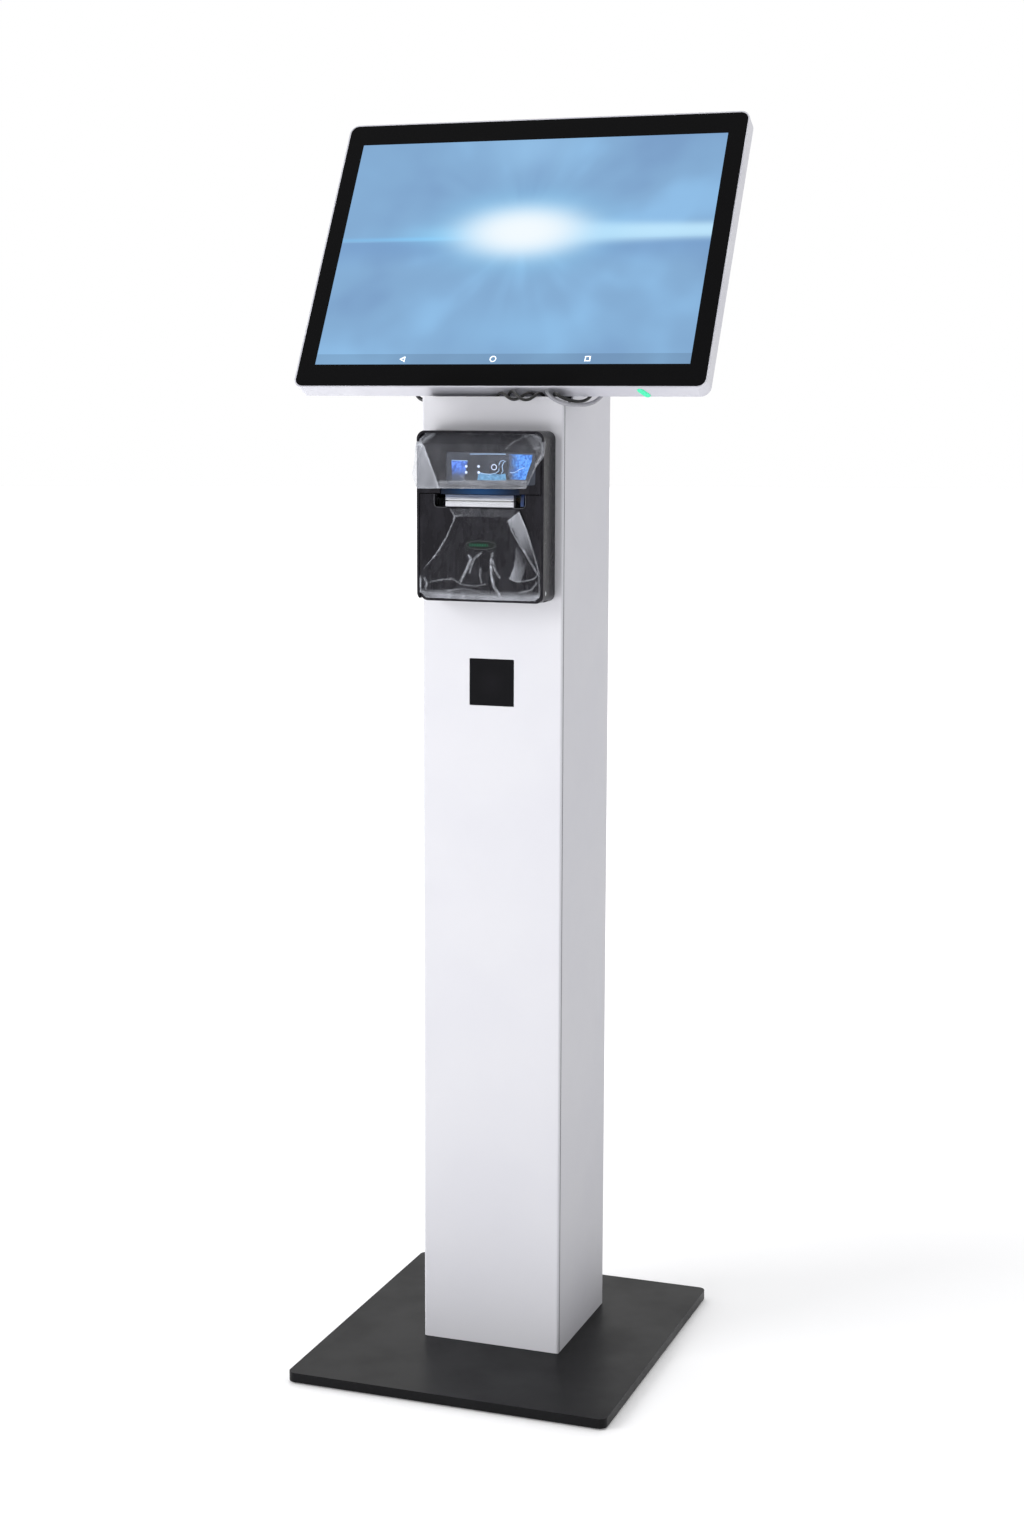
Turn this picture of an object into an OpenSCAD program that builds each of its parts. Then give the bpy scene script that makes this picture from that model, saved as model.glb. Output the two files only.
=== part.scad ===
// Floor-standing self-service ticket machine: a tilted touch display on a sheet-steel column,
// with a ticket printer and a code scanner in the column's front and a heavy plate as its foot.
// Millimetres. X to the right, the front faces -Y, Z up. The origin is on the floor, at the
// centre of the base plate.

/* [Base] */
// Width of the base plate
base_w = 410; // [340:1:520]
// Depth of the base plate
base_d = 450; // [360:1:560]
// Thickness of the base plate
base_t = 12; // [8:1:16]
// Radius of the base plate's corners
base_r = 10; // [4:1:20]
// Thickness of the rubber pads under the plate
pad_t = 2; // [1:0.5:5]
// Diameter of the rubber pads
pad_d = 40; // [24:1:60]
// Diameter of the floor anchor holes
anchor_d = 13; // [9:0.5:16]
// Distance between the anchor holes, left to right
anchor_x = 80; // [60:1:90]
// Distance between the anchor holes, front to back
anchor_y = 110; // [90:1:120]

/* [Column] */
// Width of the column
col_w = 180; // [172:1:230]
// Depth of the column
col_d = 185; // [170:1:230]
// How far the column's centre stands behind the plate's centre
col_y = 35.5; // [20:0.5:60]
// Height of the front panel's top edge
panel_top = 1199; // [1196:1:1200]
// Height of the side and rear walls' top edge, behind the display
wall_top = 1240; // [1225:1:1245]
// Thickness of the column's sheet steel
sheet = 2; // [1.5:0.1:2.5]
// Outer radius of the sheet's bends
bend_r = 3; // [2.5:0.1:5]
// How far the front panel's edges return along the sides
panel_return = 4; // [3.5:0.1:6]
// Open joint between the front panel and the column
panel_gap = 0.8; // [0.4:0.1:0.9]

/* [Display] */
// Width of the touch glass
glass_w = 520; // [430:1:630]
// Height of the touch glass
glass_h = 376; // [330:1:450]
// Thickness of the touch glass
glass_t = 3; // [2:0.1:4]
// Radius of the glass corners
glass_r = 10; // [4:1:16]
// Bright rim of the case around the glass
rim = 2; // [1.5:0.1:4]
// Depth of the display case behind the glass front
case_d = 28; // [24:1:34]
// Lean of the display back from the vertical
tilt = 29.5; // [26:0.5:32]
// Depth position of the glass centre
disp_y = 39.4; // [36:0.1:44]
// Height of the glass centre
disp_z = 1375.6; // [1374:0.1:1390]
// Width of the raised rear cover
rear_w = 360; // [280:1:400]
// Height of the raised rear cover
rear_h = 220; // [160:1:220]
// Depth of the raised rear cover
rear_t = 16; // [12:1:20]
// Spacing of the four holes that carry the display
vesa = 100; // [100:1:100]
// Distance of the tilt pivot behind the glass front
pivot_depth = 75; // [70:1:84]
// Distance of the tilt pivot below the glass centre
pivot_drop = 20; // [10:1:30]

/* [Printer] */
// Width of the printer's frame
prn_w = 160; // [150:1:170]
// Height of the printer's frame
prn_h = 202; // [196:1:230]
// Height of the printer's centre
prn_z = 1058; // [1040:1:1064]
// How far the printer's frame stands out of the column
prn_out = 42; // [40:1:50]
// Wall of the printer's frame
prn_wall = 3; // [2:0.1:4]
// Width of the paper roll
roll_w = 79.5; // [57:0.5:80]
// Diameter of the paper roll
roll_d = 56; // [40:1:60]
// Diameter of the platen roller
platen_d = 12; // [10:0.5:12]
// Tooth module of the printer's gears
gear_m = 0.7; // [0.6:0.05:0.75]

/* [Scanner] */
// Side of the square scanner window
window = 57; // [46:1:64]
// Height of the window's centre
window_z = 856.6; // [780:0.1:900]

/* [Rear door] */
// Width of the rear opening
door_w = 130; // [100:1:136]
// Height of the rear opening
door_h = 860; // [600:1:900]
// Height of the opening's lower edge
door_z = 130; // [125:1:160]

/* [Hidden] */

$fn = 48;
run = 0.05;                                  // radial clearance of a running fit
cut = 1;                                     // overshoot of a cutting solid

// base
floor_z = pad_t + base_t;                    // top of the base plate
pad_inset = 34;                              // pad centres from the plate's edges
flange_t = 6;                                // foot flange inside the column
bolt_d = 8;                                  // all frame bolts
bolt_head = 5.5;                             // height of a bolt's head
bolt_x = 70;                                 // foot bolts from the column's centre
bolt_y = 70;

// column
col_front = col_y - col_d / 2;
col_back = col_y + col_d / 2;
shell_front = col_front + panel_return + panel_gap;
inner_w = col_w - 2 * sheet;
seat_out = col_w / 2 - sheet - 4;            // outer edge of the panel's seat strips
seat_w = 18;
stud_x = seat_out - seat_w / 2 - 1;
stud_zs = [60, 350, 640, 910, 1177];
stud_d = 4;
nut_af = 7;
nut_t = 3.2;
cap_t = 3;
cap_z = 1160;                                // underside of the column's inner cap
cap_top = cap_z + cap_t;

// display, in its own frame: d behind the glass front, b up the screen from its centre
case_w = glass_w + 2 * rim;
case_h = glass_h + 2 * rim;
case_back_r = 6;                             // bevel of the case's rear edge
case_ledge = 8;                              // thick border of the case behind the glass
case_wall = 2.5;
notch_gap = 6;                               // room between the case and the column
rear_d = case_d + rear_t;                    // back of the rear cover
bracket_t = 3;
bracket_w = 120;
ear_in = 53;                                 // inner face of the display bracket's ears
ear_t = 3.5;
washer_t = 1.5;
cheek_in = ear_in + ear_t + washer_t;        // inner face of the fixed cheeks
cheek_t = 4;
cheek_r = 16;
pin_d = 10;
plug_l = 16;
plug_d = case_d + rear_t / 2;                // depth of the cable plugs' axes
plug_xs = [-115, 0, 20, 112, 126];
button_x = 184;
button_d = 13.5;
button_l = 20;
button_w = 8.5;
button_turn = 26;                            // slant of the lit power button
button_travel = 1;

function lift(d, b) = [disp_y + b * sin(tilt) + d * cos(tilt), disp_z + b * cos(tilt) - d * sin(tilt)];
pivot = lift(pivot_depth, -pivot_drop);
notch = lift(case_d + notch_gap, -case_h / 2 - notch_gap - 2);

// rear door
door_gap = 0.5;
door_fold = 8;                               // inward fold along the door's edges
hinge_x = door_w / 2 + 7;
hinge_r = 3.5;
hinge_y = col_back + hinge_r;
hinge_pin_d = 4;
hinge_zs = [120, door_h - 120];
knuckle = 20;
leaf_w = 14;
lock_x = -door_w / 2 + 18;
lock_z = door_z + door_h / 2;
lock_r = 9.5;
core_r = 7;
strike_y = col_back - 15;
cam_t = 3;

// mains inlet
inlet_z = 76;
inlet_w = 34;
inlet_h = 62;
rocker_w = 12;
rocker_r = 13;
rocker_throw = 7;

// scanner
window_t = 3;
frame_w = window + 16;

// printer, in its own frame: Y is the depth behind the column's front, Z up from its centre
prn_r = 10;
tub_w = prn_w - 10;
tub_h = prn_h - 12;
tub_deep = 43.5;                             // how far the tub reaches into the column
tub_wall = 2.5;
in_w = prn_w - 2 * prn_wall;
in_h = prn_h - 2 * prn_wall;
skin = 3;                                    // wall of the cover and the door
face = prn_out + 1;                          // front of the cover and the door
split = 27;                                  // parting line above the centre
outlet_w = 114;                              // finger gap around the paper outlet
outlet_floor = 11.5;
slot_z = 19;                                 // height of the paper slot
slot_gap = 1;
bar_w = 86;
door_axis = [-32, -prn_h / 2 + 12];
paper_t = 0.15;
platen_r = platen_d / 2;
platen = [-27, slot_z - platen_r - 0.5];
paper_line = platen[0] + platen_r + 0.5;     // depth of the paper between head and platen
roll_r = roll_d / 2;
roll = [paper_line + roll_r + paper_t / 2, -50];
bucket_gap = 3;
platen_teeth = 18;
idler_teeth = 30;
pinion_teeth = 12;
gear_w = 3.5;
gear_x = 54.5;
mesh_slack = 0.05;
idler = [platen[0] + gear_m * (platen_teeth + idler_teeth) / 2 + mesh_slack, platen[1]];
pinion_reach = gear_m * (idler_teeth + pinion_teeth) / 2 + mesh_slack;
pinion = idler + pinion_reach * [cos(45), -sin(45)];
motor_r = 12.5;
motor_l = 20;
plate_x = 50;                                // inner face of the print frame's side plates
plate_t = 2;
lever_x = 50.2;
lever_w = 4;
lever_pivot = [-30, 30.5];
label_x = 14;
label_w = 112;
label_h = 38;
label_z = 57;
feed_x = 18.5;
feed_z = 58.9;
feed_r = 6;
feed_travel = 0.8;
lamps = [[-16.7, 52.5], [-16.7, 59.5], [-1.1, 52.5], [-1.1, 59.5]];
lamp_r = 1.6;
apron_t = 1.2;
film_t = 0.6;
film_gap = 0.4;

// colours
silver = [0.84, 0.84, 0.87];
coal = [0.16, 0.16, 0.18];
jet = [0.05, 0.05, 0.06];
zinc = [0.68, 0.69, 0.7];

// ---- sketches and placing ----
module rounded(w, h, r) {
    square([w - 2 * r, h], center = true);
    square([w, h - 2 * r], center = true);
    for (x = [-1, 1], y = [-1, 1])
        translate([x * (w / 2 - r), y * (h / 2 - r)]) circle(r = r);
}

module slot_shape(l, w) {
    square([l - w, w], center = true);
    for (x = [-1, 1]) translate([x * (l - w) / 2, 0]) circle(d = w);
}

// a sketch stood up in X and Z, from depth y0 back to y1
module between(y0, y1) {
    translate([0, y1, 0]) rotate([90, 0, 0]) linear_extrude(y1 - y0) children();
}

// a side profile of Y and Z, from x0 to x1
module along(x0, x1) {
    translate([x0, 0, 0]) rotate([90, 0, 90]) linear_extrude(x1 - x0) children();
}

module rod(x0, x1, d) { along(x0, x1) circle(d = d); }

module display_frame() { translate([0, disp_y, disp_z]) rotate([-tilt, 0, 0]) children(); }

module printer_frame() { translate([0, col_front, prn_z]) children(); }

module at(p) { translate([0, p[0], p[1]]) children(); }

module both_sides() {
    children();
    mirror([1, 0, 0]) children();
}

// ---- gears: involute teeth of 20 degrees ----
function involute(rb, a) = rb * [cos(a) + a * PI / 180 * sin(a), sin(a) - a * PI / 180 * cos(a)];
function roll_angle(rb, r) = sqrt(pow(r / rb, 2) - 1) * 180 / PI;
function flank_turn(rb, r) = roll_angle(rb, r) - atan(roll_angle(rb, r) * PI / 180);
function spun(p, a) = [p[0] * cos(a) - p[1] * sin(a), p[0] * sin(a) + p[1] * cos(a)];

module gear_shape(teeth, phase) {
    pitch = gear_m * teeth / 2;
    rb = pitch * cos(20);
    tip = pitch + 0.9 * gear_m;
    root = pitch - 1.2 * gear_m;
    half = 90 / teeth - 0.03 / pitch * 180 / PI + flank_turn(rb, pitch);
    low = root < rb ? 0 : roll_angle(rb, root);
    high = roll_angle(rb, tip);
    side = [for (k = [0:4]) involute(rb, low + (high - low) * k / 4)];
    polygon([for (t = [0:teeth - 1]) let (a = phase + 360 / teeth * t) each concat(
        [spun([root, 0], a - half - (root < rb ? 0 : -0.01))],
        [for (p = side) spun(p, a - half)],
        [for (k = [4:-1:0]) spun([side[k][0], -side[k][1]], a + half)],
        [spun([root, 0], a + half - (root < rb ? 0 : 0.01))])]);
}

// tooth angle of a gear that meshes with one whose tooth stands at angle a, seen along direction dir
function meshed(a, teeth_a, teeth_b, dir) = dir + 180 - (0.5 - (dir - a) * teeth_a / 360) * 360 / teeth_b;
idler_phase = meshed(0, platen_teeth, idler_teeth, 0);
pinion_phase = meshed(idler_phase, idler_teeth, pinion_teeth, -45);

// ---- cables: a round tube swept along its route ----
function unit(v) = v / norm(v);
function heading(p, i) = unit(p[min(i + 1, len(p) - 1)] - p[max(i - 1, 0)]);
function side_of(p, i) = i == 0
    ? unit(cross(heading(p, 0), [1, 0, 0]))
    : let (t = heading(p, i), s = side_of(p, i - 1)) unit(s - (s * t) * t);

module cable(route, d, sides = 8) {
    rings = len(route);
    points = [for (i = [0:rings - 1]) let (t = heading(route, i), n = side_of(route, i), m = cross(t, n))
        for (k = [0:sides - 1]) route[i] + d / 2 * (cos(360 * k / sides) * n + sin(360 * k / sides) * m)];
    skin_faces = [for (i = [0:rings - 2], k = [0:sides - 1]) let (a = i * sides + k,
        b = i * sides + (k + 1) % sides) each [[a, a + sides, b + sides], [a, b + sides, b]]];
    first_cap = [for (k = [0:sides - 1]) k];
    last_cap = [for (k = [sides - 1:-1:0]) (rings - 1) * sides + k];
    polyhedron(points = points, faces = concat([first_cap, last_cap], skin_faces), convexity = 6);
}

exits = [[-64, -12], [50, -34], [62, -34], [78, -8], [76, -26]];
left_d = 4.6;
front_d = 3.6;
black_d = 4;
grey_d = 4.8;
left_route = [[-115, 8.5, 1247.5], [-115, 3.5, 1239], [-115, -1, 1230], [-115, -6, 1219], [-115, -12, 1209],
    [-112, -19, 1202], [-106, -25, 1197], [-98, -28, 1194], [-91, -29, 1192.3], [-84, -28.5, 1191.5],
    [-77, -25, 1189], [-70, -19, 1184], [-66, -14, 1177], [-64, -12, 1171], [-64, -12, 1165.5]];
front_a_route = [[0, 8.5, 1247.5], [0, 3.5, 1239], [-1, -1, 1231], [-2, -6, 1222], [-4, -15, 1206],
    [-7, -23, 1194], [-8, -32, 1188.5], [-5, -41, 1190], [1, -48.5, 1196.5], [8, -54.5, 1202],
    [15, -59.5, 1203], [21, -62.5, 1199], [27, -63, 1196], [33, -62.5, 1196], [39, -60.5, 1199.5],
    [44, -57, 1203], [49, -51, 1202.5], [51.5, -45, 1197], [52.5, -40, 1189], [51, -36, 1180],
    [50, -34, 1172], [50, -34, 1165.5]];
front_b_route = [[20, 8.5, 1247.5], [20, 3.5, 1239], [19, -1, 1231], [18, -6, 1222], [16, -15, 1206],
    [14, -23, 1194], [12, -32, 1188], [13, -41, 1189], [16, -48, 1194.5], [20, -54, 1201.5],
    [26, -59.5, 1205.5], [32, -65, 1202.5], [38, -67.5, 1198], [44, -68, 1195.5], [50, -66, 1196],
    [55, -62.5, 1199.5], [58.5, -57.5, 1203], [61, -51, 1202], [62.5, -45, 1196.5], [63.5, -40, 1188],
    [62.5, -36, 1180], [62, -34, 1172], [62, -34, 1165.5]];
black_route = [[112, 8.5, 1247.5], [112, 3.5, 1239], [112, -1, 1230], [112, -5, 1220], [112, -10, 1211],
    [112, -17, 1203], [110.5, -25, 1197.5], [108, -34, 1194.5], [104, -44, 1193.5], [99, -54, 1194.5],
    [92.5, -61, 1197], [86, -62.5, 1200], [80.5, -60, 1203], [77, -53, 1202.5], [76, -45, 1197],
    [77, -34, 1191], [78, -22, 1186.5], [78, -13, 1180], [78, -8, 1172], [78, -8, 1165.5]];
grey_route = [[126, 8.5, 1247.5], [126, 3.5, 1239], [126, -1, 1230], [126, -5, 1219], [126, -10, 1209],
    [124, -17, 1200.5], [120, -25, 1194.5], [115, -34, 1191], [109, -44, 1189.5], [103, -55, 1189.5],
    [96, -63, 1190.5], [88.5, -67, 1193], [81, -67, 1196.5], [74.5, -64.5, 1201], [70, -59.5, 1204.5],
    [69, -52, 1203.3], [70, -44, 1196], [72.5, -37, 1187.5], [75, -31, 1180], [76, -26, 1172],
    [76, -26, 1165.5]];

// ---- foot ----
module base_plate() {
    color(jet) difference() {
        translate([0, 0, pad_t]) linear_extrude(base_t) rounded(base_w, base_d, base_r);
        foot_holes(pad_t - cut, base_t + 2 * cut);
    }
}

module foot_holes(z, h) {
    translate([0, col_y, z]) {
        for (x = [-1, 1], y = [-1, 1]) {
            translate([x * anchor_x / 2, y * anchor_y / 2, 0]) cylinder(d = anchor_d, h = h);
            translate([x * bolt_x, y * bolt_y, 0]) cylinder(d = bolt_d + 2 * run, h = h);
        }
    }
}

module foot_pads() {
    color([0.1, 0.1, 0.1])
        for (x = [-1, 0, 1], y = [-1, 1])
            translate([x * (base_w / 2 - pad_inset), y * (base_d / 2 - pad_inset), 0])
                cylinder(d = pad_d, h = pad_t);
}

module column_flange() {
    color(zinc) difference() {
        translate([0, col_y, floor_z]) linear_extrude(flange_t)
            square([inner_w - 0.4, col_d - 2 * sheet - 12], center = true);
        foot_holes(floor_z - cut, flange_t + 2 * cut);
    }
}

module bolt(l) {
    translate([0, 0, -l]) cylinder(d = bolt_d, h = l);
    cylinder(r = bolt_d * 0.94, h = bolt_head, $fn = 6);
}

module frame_bolts() {
    color(zinc) {
        for (x = [-1, 1], y = [-1, 1])
            translate([x * bolt_x, col_y + y * bolt_y, floor_z + flange_t]) bolt(flange_t + base_t);
        for (x = [-1, 1], y = tilt_bolt_ys)
            translate([x * tilt_bolt_x, y, cap_top + cheek_t]) bolt(cheek_t + cap_t + 8);
    }
}

// ---- column ----
module shell_plan() {
    deep = col_back - shell_front;
    difference() {
        translate([0, shell_front + deep / 2]) rounded(col_w, deep, bend_r);
        translate([0, shell_front + deep / 2]) square([inner_w, deep - 2 * sheet], center = true);
        translate([0, shell_front]) square([2 * (seat_out - sheet), 3 * sheet], center = true);
    }
    both_sides() {
        translate([seat_out - sheet, col_front + sheet]) square([sheet, shell_front - col_front]);
        translate([seat_out - seat_w, col_front + sheet]) square([seat_w, sheet]);
    }
}

module door_knuckles(side) {
    for (z = hinge_zs) translate([hinge_x, hinge_y, door_z + z]) difference() {
        union() {
            for (k = side == "wall" ? [-1, 1] : [0]) {
                translate([0, 0, k * knuckle - knuckle / 2 + 0.2]) {
                    cylinder(r = hinge_r, h = knuckle - 0.4);
                    translate([side == "wall" ? 0 : -leaf_w, -hinge_r, 0]) cube([leaf_w, 2, knuckle - 0.4]);
                }
            }
        }
        translate([0, 0, -2 * knuckle]) cylinder(d = hinge_pin_d + 2 * run, h = 4 * knuckle);
    }
}

module column_shell() {
    color(silver) difference() {
        translate([0, 0, floor_z]) linear_extrude(wall_top - floor_z) shell_plan();
        along(-col_w, col_w) polygon([[col_front - cut, panel_top], [shell_front + 0.3, panel_top],
            notch, notch + [(wall_top - notch[1]) * tan(tilt), wall_top - notch[1]],
            notch + [(wall_top + 9 - notch[1]) * tan(tilt), wall_top + 9 - notch[1]],
            [col_front - cut, wall_top + 9]]);
        translate([-door_w / 2, col_back - sheet - cut, door_z]) cube([door_w, sheet + 2 * cut, door_h]);
        translate([0, 0, inlet_z]) between(col_back - sheet - cut, col_back + cut)
            square([inlet_w - 6, inlet_h - 14], center = true);
        translate([0, 0, prn_z]) between(col_front + sheet - cut, shell_front + sheet + cut)
            square([tub_w + 3, tub_h + 3], center = true);
        for (x = [-1, 1], z = stud_zs) translate([x * stud_x, 0, z])
            between(col_front + sheet - cut, col_front + 2 * sheet + cut) circle(d = stud_d + 0.6);
    }
    color(silver) door_knuckles("wall");
    color(silver) translate([-inner_w / 2 - 0.1, strike_y, lock_z - 15])
        cube([inner_w / 2 + 0.1 - door_w / 2 - 5, col_back - sheet + 0.1 - strike_y, 30]);
}

module front_panel() {
    color(silver) {
        difference() {
            translate([0, 0, floor_z]) linear_extrude(panel_top - floor_z) difference() {
                intersection() {
                    translate([0, col_y]) rounded(col_w, col_d, bend_r);
                    translate([0, col_front + panel_return / 2]) square([col_w, panel_return], center = true);
                }
                translate([0, col_front + sheet + panel_return]) square([inner_w, 2 * panel_return], center = true);
            }
            translate([0, 0, prn_z]) between(col_front - cut, col_front + sheet + cut)
                square([tub_w + 1, tub_h + 1], center = true);
            translate([0, 0, window_z]) between(col_front - cut, col_front + sheet + cut)
                rounded(window + 0.4, window + 0.4, 1);
        }
        for (x = [-1, 1], z = stud_zs) translate([x * stud_x, 0, z])
            between(col_front + sheet, col_front + sheet + 9) circle(d = stud_d);
    }
}

module panel_nuts() {
    color(zinc) for (x = [-1, 1], z = stud_zs) translate([x * stud_x, 0, z])
        between(col_front + 2 * sheet, col_front + 2 * sheet + nut_t) difference() {
            circle(d = nut_af / cos(30), $fn = 6);
            circle(d = stud_d + 2 * run);
        }
}

module column_cap() {
    front = shell_front + sheet + 0.4;
    back = col_back - sheet - 0.3;
    color(silver) difference() {
        translate([-inner_w / 2 + 0.3, front, cap_z - 20])
            cube([inner_w - 0.6, back - front, cap_t + 20]);
        translate([-inner_w / 2 + 2.3, front - cut, cap_z - 20 - cut])
            cube([inner_w - 4.6, back - front + 2 * cut, 20 + cut]);
        for (e = exits) translate([e[0], e[1], cap_z - cut]) cylinder(d = 8, h = cap_t + 2 * cut);
        for (x = [-1, 1], y = tilt_bolt_ys)
            translate([x * tilt_bolt_x, y, cap_z - cut]) cylinder(d = bolt_d + 2 * run, h = cap_t + 2 * cut);
    }
}

module cable_grommets() {
    color(jet) for (e = exits) translate([e[0], e[1], cap_z - 2]) {
        cylinder(d = 7.9, h = cap_t + 3);
        cylinder(d = 10.4, h = 2);
        translate([0, 0, cap_t + 2]) cylinder(d = 10.4, h = 2);
    }
}

// ---- tilt mount ----
tilt_front = 20;
tilt_back = 112;
tilt_bolt_x = 36;
tilt_bolt_ys = [tilt_front + 16, tilt_back - 16];

module tilt_base() {
    color(coal) difference() {
        union() {
            translate([-cheek_in, tilt_front, cap_top]) cube([2 * cheek_in, tilt_back - tilt_front, cheek_t]);
            both_sides() along(cheek_in, cheek_in + cheek_t) {
                polygon([[tilt_front, cap_top], [tilt_back, cap_top], [tilt_back, pivot[1] - 30],
                    [pivot[0] + cheek_r, pivot[1]], [pivot[0] - cheek_r, pivot[1]],
                    [tilt_front, cap_top + 37]]);
                translate(pivot) circle(r = cheek_r);
            }
        }
        at(pivot) rod(-cheek_in - cheek_t - cut, cheek_in + cheek_t + cut, pin_d + 2 * run);
        for (x = [-1, 1], y = tilt_bolt_ys)
            translate([x * tilt_bolt_x, y, cap_top - cut]) cylinder(d = bolt_d + 2 * run, h = cheek_t + 2 * cut);
    }
}

module tilt_pins() {
    color(zinc) both_sides() at(pivot) {
        rod(ear_in - 8, cheek_in + cheek_t + 0.5, pin_d);
        along(cheek_in + cheek_t, cheek_in + cheek_t + 5) circle(r = 9, $fn = 6);
        along(ear_in - 6, ear_in - run) circle(r = 9, $fn = 6);
    }
}

module friction_washers() {
    color([0.5, 0.42, 0.2]) both_sides() at(pivot)
        along(ear_in + ear_t + run, cheek_in) difference() {
            circle(r = 13);
            circle(d = pin_d + 2 * run);
        }
}

module display_bracket() {
    color(coal) difference() {
        display_frame() {
            between(rear_d, rear_d + bracket_t)
                square([2 * (ear_in + ear_t), bracket_w], center = true);
            both_sides() along(ear_in, ear_in + ear_t) {
                polygon([[rear_d, -45], [rear_d, 20], [pivot_depth + 6, -pivot_drop + 12.7],
                    [pivot_depth + 6, -pivot_drop - 12.7]]);
                translate([pivot_depth, -pivot_drop]) circle(r = 14);
            }
        }
        at(pivot) rod(-ear_in - ear_t - cut, ear_in + ear_t + cut, pin_d + 2 * run);
        display_frame() for (x = [-1, 1], b = [-1, 1])
            translate([x * vesa / 2 * 0.9, 0, b * vesa / 2])
                between(rear_d - cut, rear_d + bracket_t + cut) circle(d = 4.3);
    }
}

module bracket_screws() {
    color(zinc) display_frame() for (x = [-1, 1], b = [-1, 1])
        translate([x * vesa / 2 * 0.9, 0, b * vesa / 2]) {
            between(rear_d - case_wall - 2, rear_d + bracket_t + 0.5) circle(d = 4.2);
            between(rear_d + bracket_t, rear_d + bracket_t + 2.4) circle(d = 7);
        }
}

// ---- display ----
module case_corners(inset, r, d0, d1) {
    for (x = [-1, 1], b = [-1, 1])
        translate([x * (case_w / 2 - inset - r), 0, b * (case_h / 2 - inset - r)])
            between(d0, d1) circle(r = r, $fn = 32);
}

module display_case() {
    color(silver) display_frame() difference() {
        hull() {
            case_corners(0, glass_r + rim, 0.6, case_d - case_back_r);
            case_corners(case_back_r - 1, glass_r + rim - 4, case_d - case_back_r, case_d);
        }
        between(-cut, glass_t) rounded(glass_w + 0.4, glass_h + 0.4, glass_r + 0.2);
        between(glass_t - cut, case_d - case_wall)
            rounded(case_w - 2 * case_ledge, case_h - 2 * case_ledge, 4);
        between(case_d - case_wall - cut, case_d + cut) square([200, 90], center = true);
        power_slot(button_l + 0.5, button_w + 0.5, -case_h / 2 - cut, -case_h / 2 + case_ledge + cut);
    }
}

module power_slot(l, w, b0, b1) {
    translate([button_x, button_d, b0]) rotate(90 - button_turn) linear_extrude(b1 - b0) slot_shape(l, w);
}

module power_button() {
    color([0.2, 0.85, 0.6]) display_frame() {
        power_slot(button_l, button_w, -case_h / 2 - 0.6, -case_h / 2 + case_ledge + 0.3);
        power_slot(button_l + 1, button_w + 2, -case_h / 2 + case_ledge + 0.2, -case_h / 2 + case_ledge + 2);
    }
}

module touch_glass() {
    color(jet) display_frame() between(0, glass_t) rounded(glass_w, glass_h, glass_r);
}

module lcd_panel() {
    color([0.35, 0.6, 0.85]) display_frame()
        between(glass_t + 0.4, glass_t + 9.4)
            square([case_w - 2 * case_ledge - 12, case_h - 2 * case_ledge - 27], center = true);
}

module main_board() {
    color([0.1, 0.35, 0.2]) display_frame() translate([0, 0, 10]) {
        between(case_d + 4, case_d + 5.6) square([230, 120], center = true);
        for (x = [-108, 108], b = [-53, 53]) translate([x, 0, b])
            between(case_d, case_d + 4.1) circle(r = 3);
        between(case_d + 5.5, case_d + 9) square([28, 28], center = true);
        for (x = [-80, -50, 50, 80]) translate([x, 0, -46])
            between(case_d + 5.5, case_d + 10.5) square([15, 12], center = true);
    }
}

module speakers() {
    color(jet) display_frame() for (x = [-130, 130])
        translate([x - 30, glass_t + 11, -case_h / 2 + case_ledge]) cube([60, 10, 17]);
}

module rear_cover() {
    color(silver) display_frame() difference() {
        between(case_d, rear_d) rounded(rear_w, rear_h, 12);
        between(case_d - cut, rear_d - case_wall)
            rounded(rear_w - 2 * case_wall, rear_h - 2 * case_wall, 10);
        for (x = [-1, 1], k = [0:6]) translate([x * (rear_w / 2 - 60), 0, rear_h / 2 - 30 - 9 * k])
            between(rear_d - case_wall - cut, rear_d + cut) slot_shape(70, 3.5);
        for (x = [-1, 1], b = [-1, 1]) translate([x * vesa / 2 * 0.9, 0, b * vesa / 2])
            between(rear_d - case_wall - cut, rear_d + cut) circle(d = 4.3);
    }
}

module cable_plugs() {
    color(jet) display_frame() for (x = plug_xs)
        translate([x, plug_d, -rear_h / 2 - plug_l / 2]) cube([9, 7.5, plug_l], center = true);
}

// ---- rear door ----
module rear_door() {
    w = door_w - 2 * door_gap;
    h = door_h - 2 * door_gap;
    color(silver) {
        translate([0, 0, door_z + door_h / 2]) difference() {
            union() {
                between(col_back - sheet, col_back) square([w, h], center = true);
                between(col_back - sheet - door_fold, col_back - sheet) difference() {
                    square([w - 4, h - 4], center = true);
                    square([w - 4 - 2 * sheet, h - 4 - 2 * sheet], center = true);
                }
            }
            translate([lock_x, 0, 0]) between(col_back - sheet - cut, col_back + cut) circle(r = lock_r + run);
            for (s = [-1, 1], k = [0:7]) translate([0, 0, s * (door_h / 2 - 60) + 9 * (k - 3.5)])
                between(col_back - sheet - cut, col_back + cut) slot_shape(60, 3.5);
        }
        door_knuckles("door");
    }
}

module hinge_pins() {
    color(zinc) for (z = hinge_zs) translate([hinge_x, hinge_y, door_z + z]) {
        translate([0, 0, -1.5 * knuckle]) cylinder(d = hinge_pin_d, h = 3 * knuckle);
        translate([0, 0, 1.5 * knuckle]) cylinder(d = hinge_pin_d + 2.4, h = 1.5);
        translate([0, 0, -1.5 * knuckle - 1.5]) cylinder(d = hinge_pin_d + 2.4, h = 1.5);
    }
}

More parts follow.
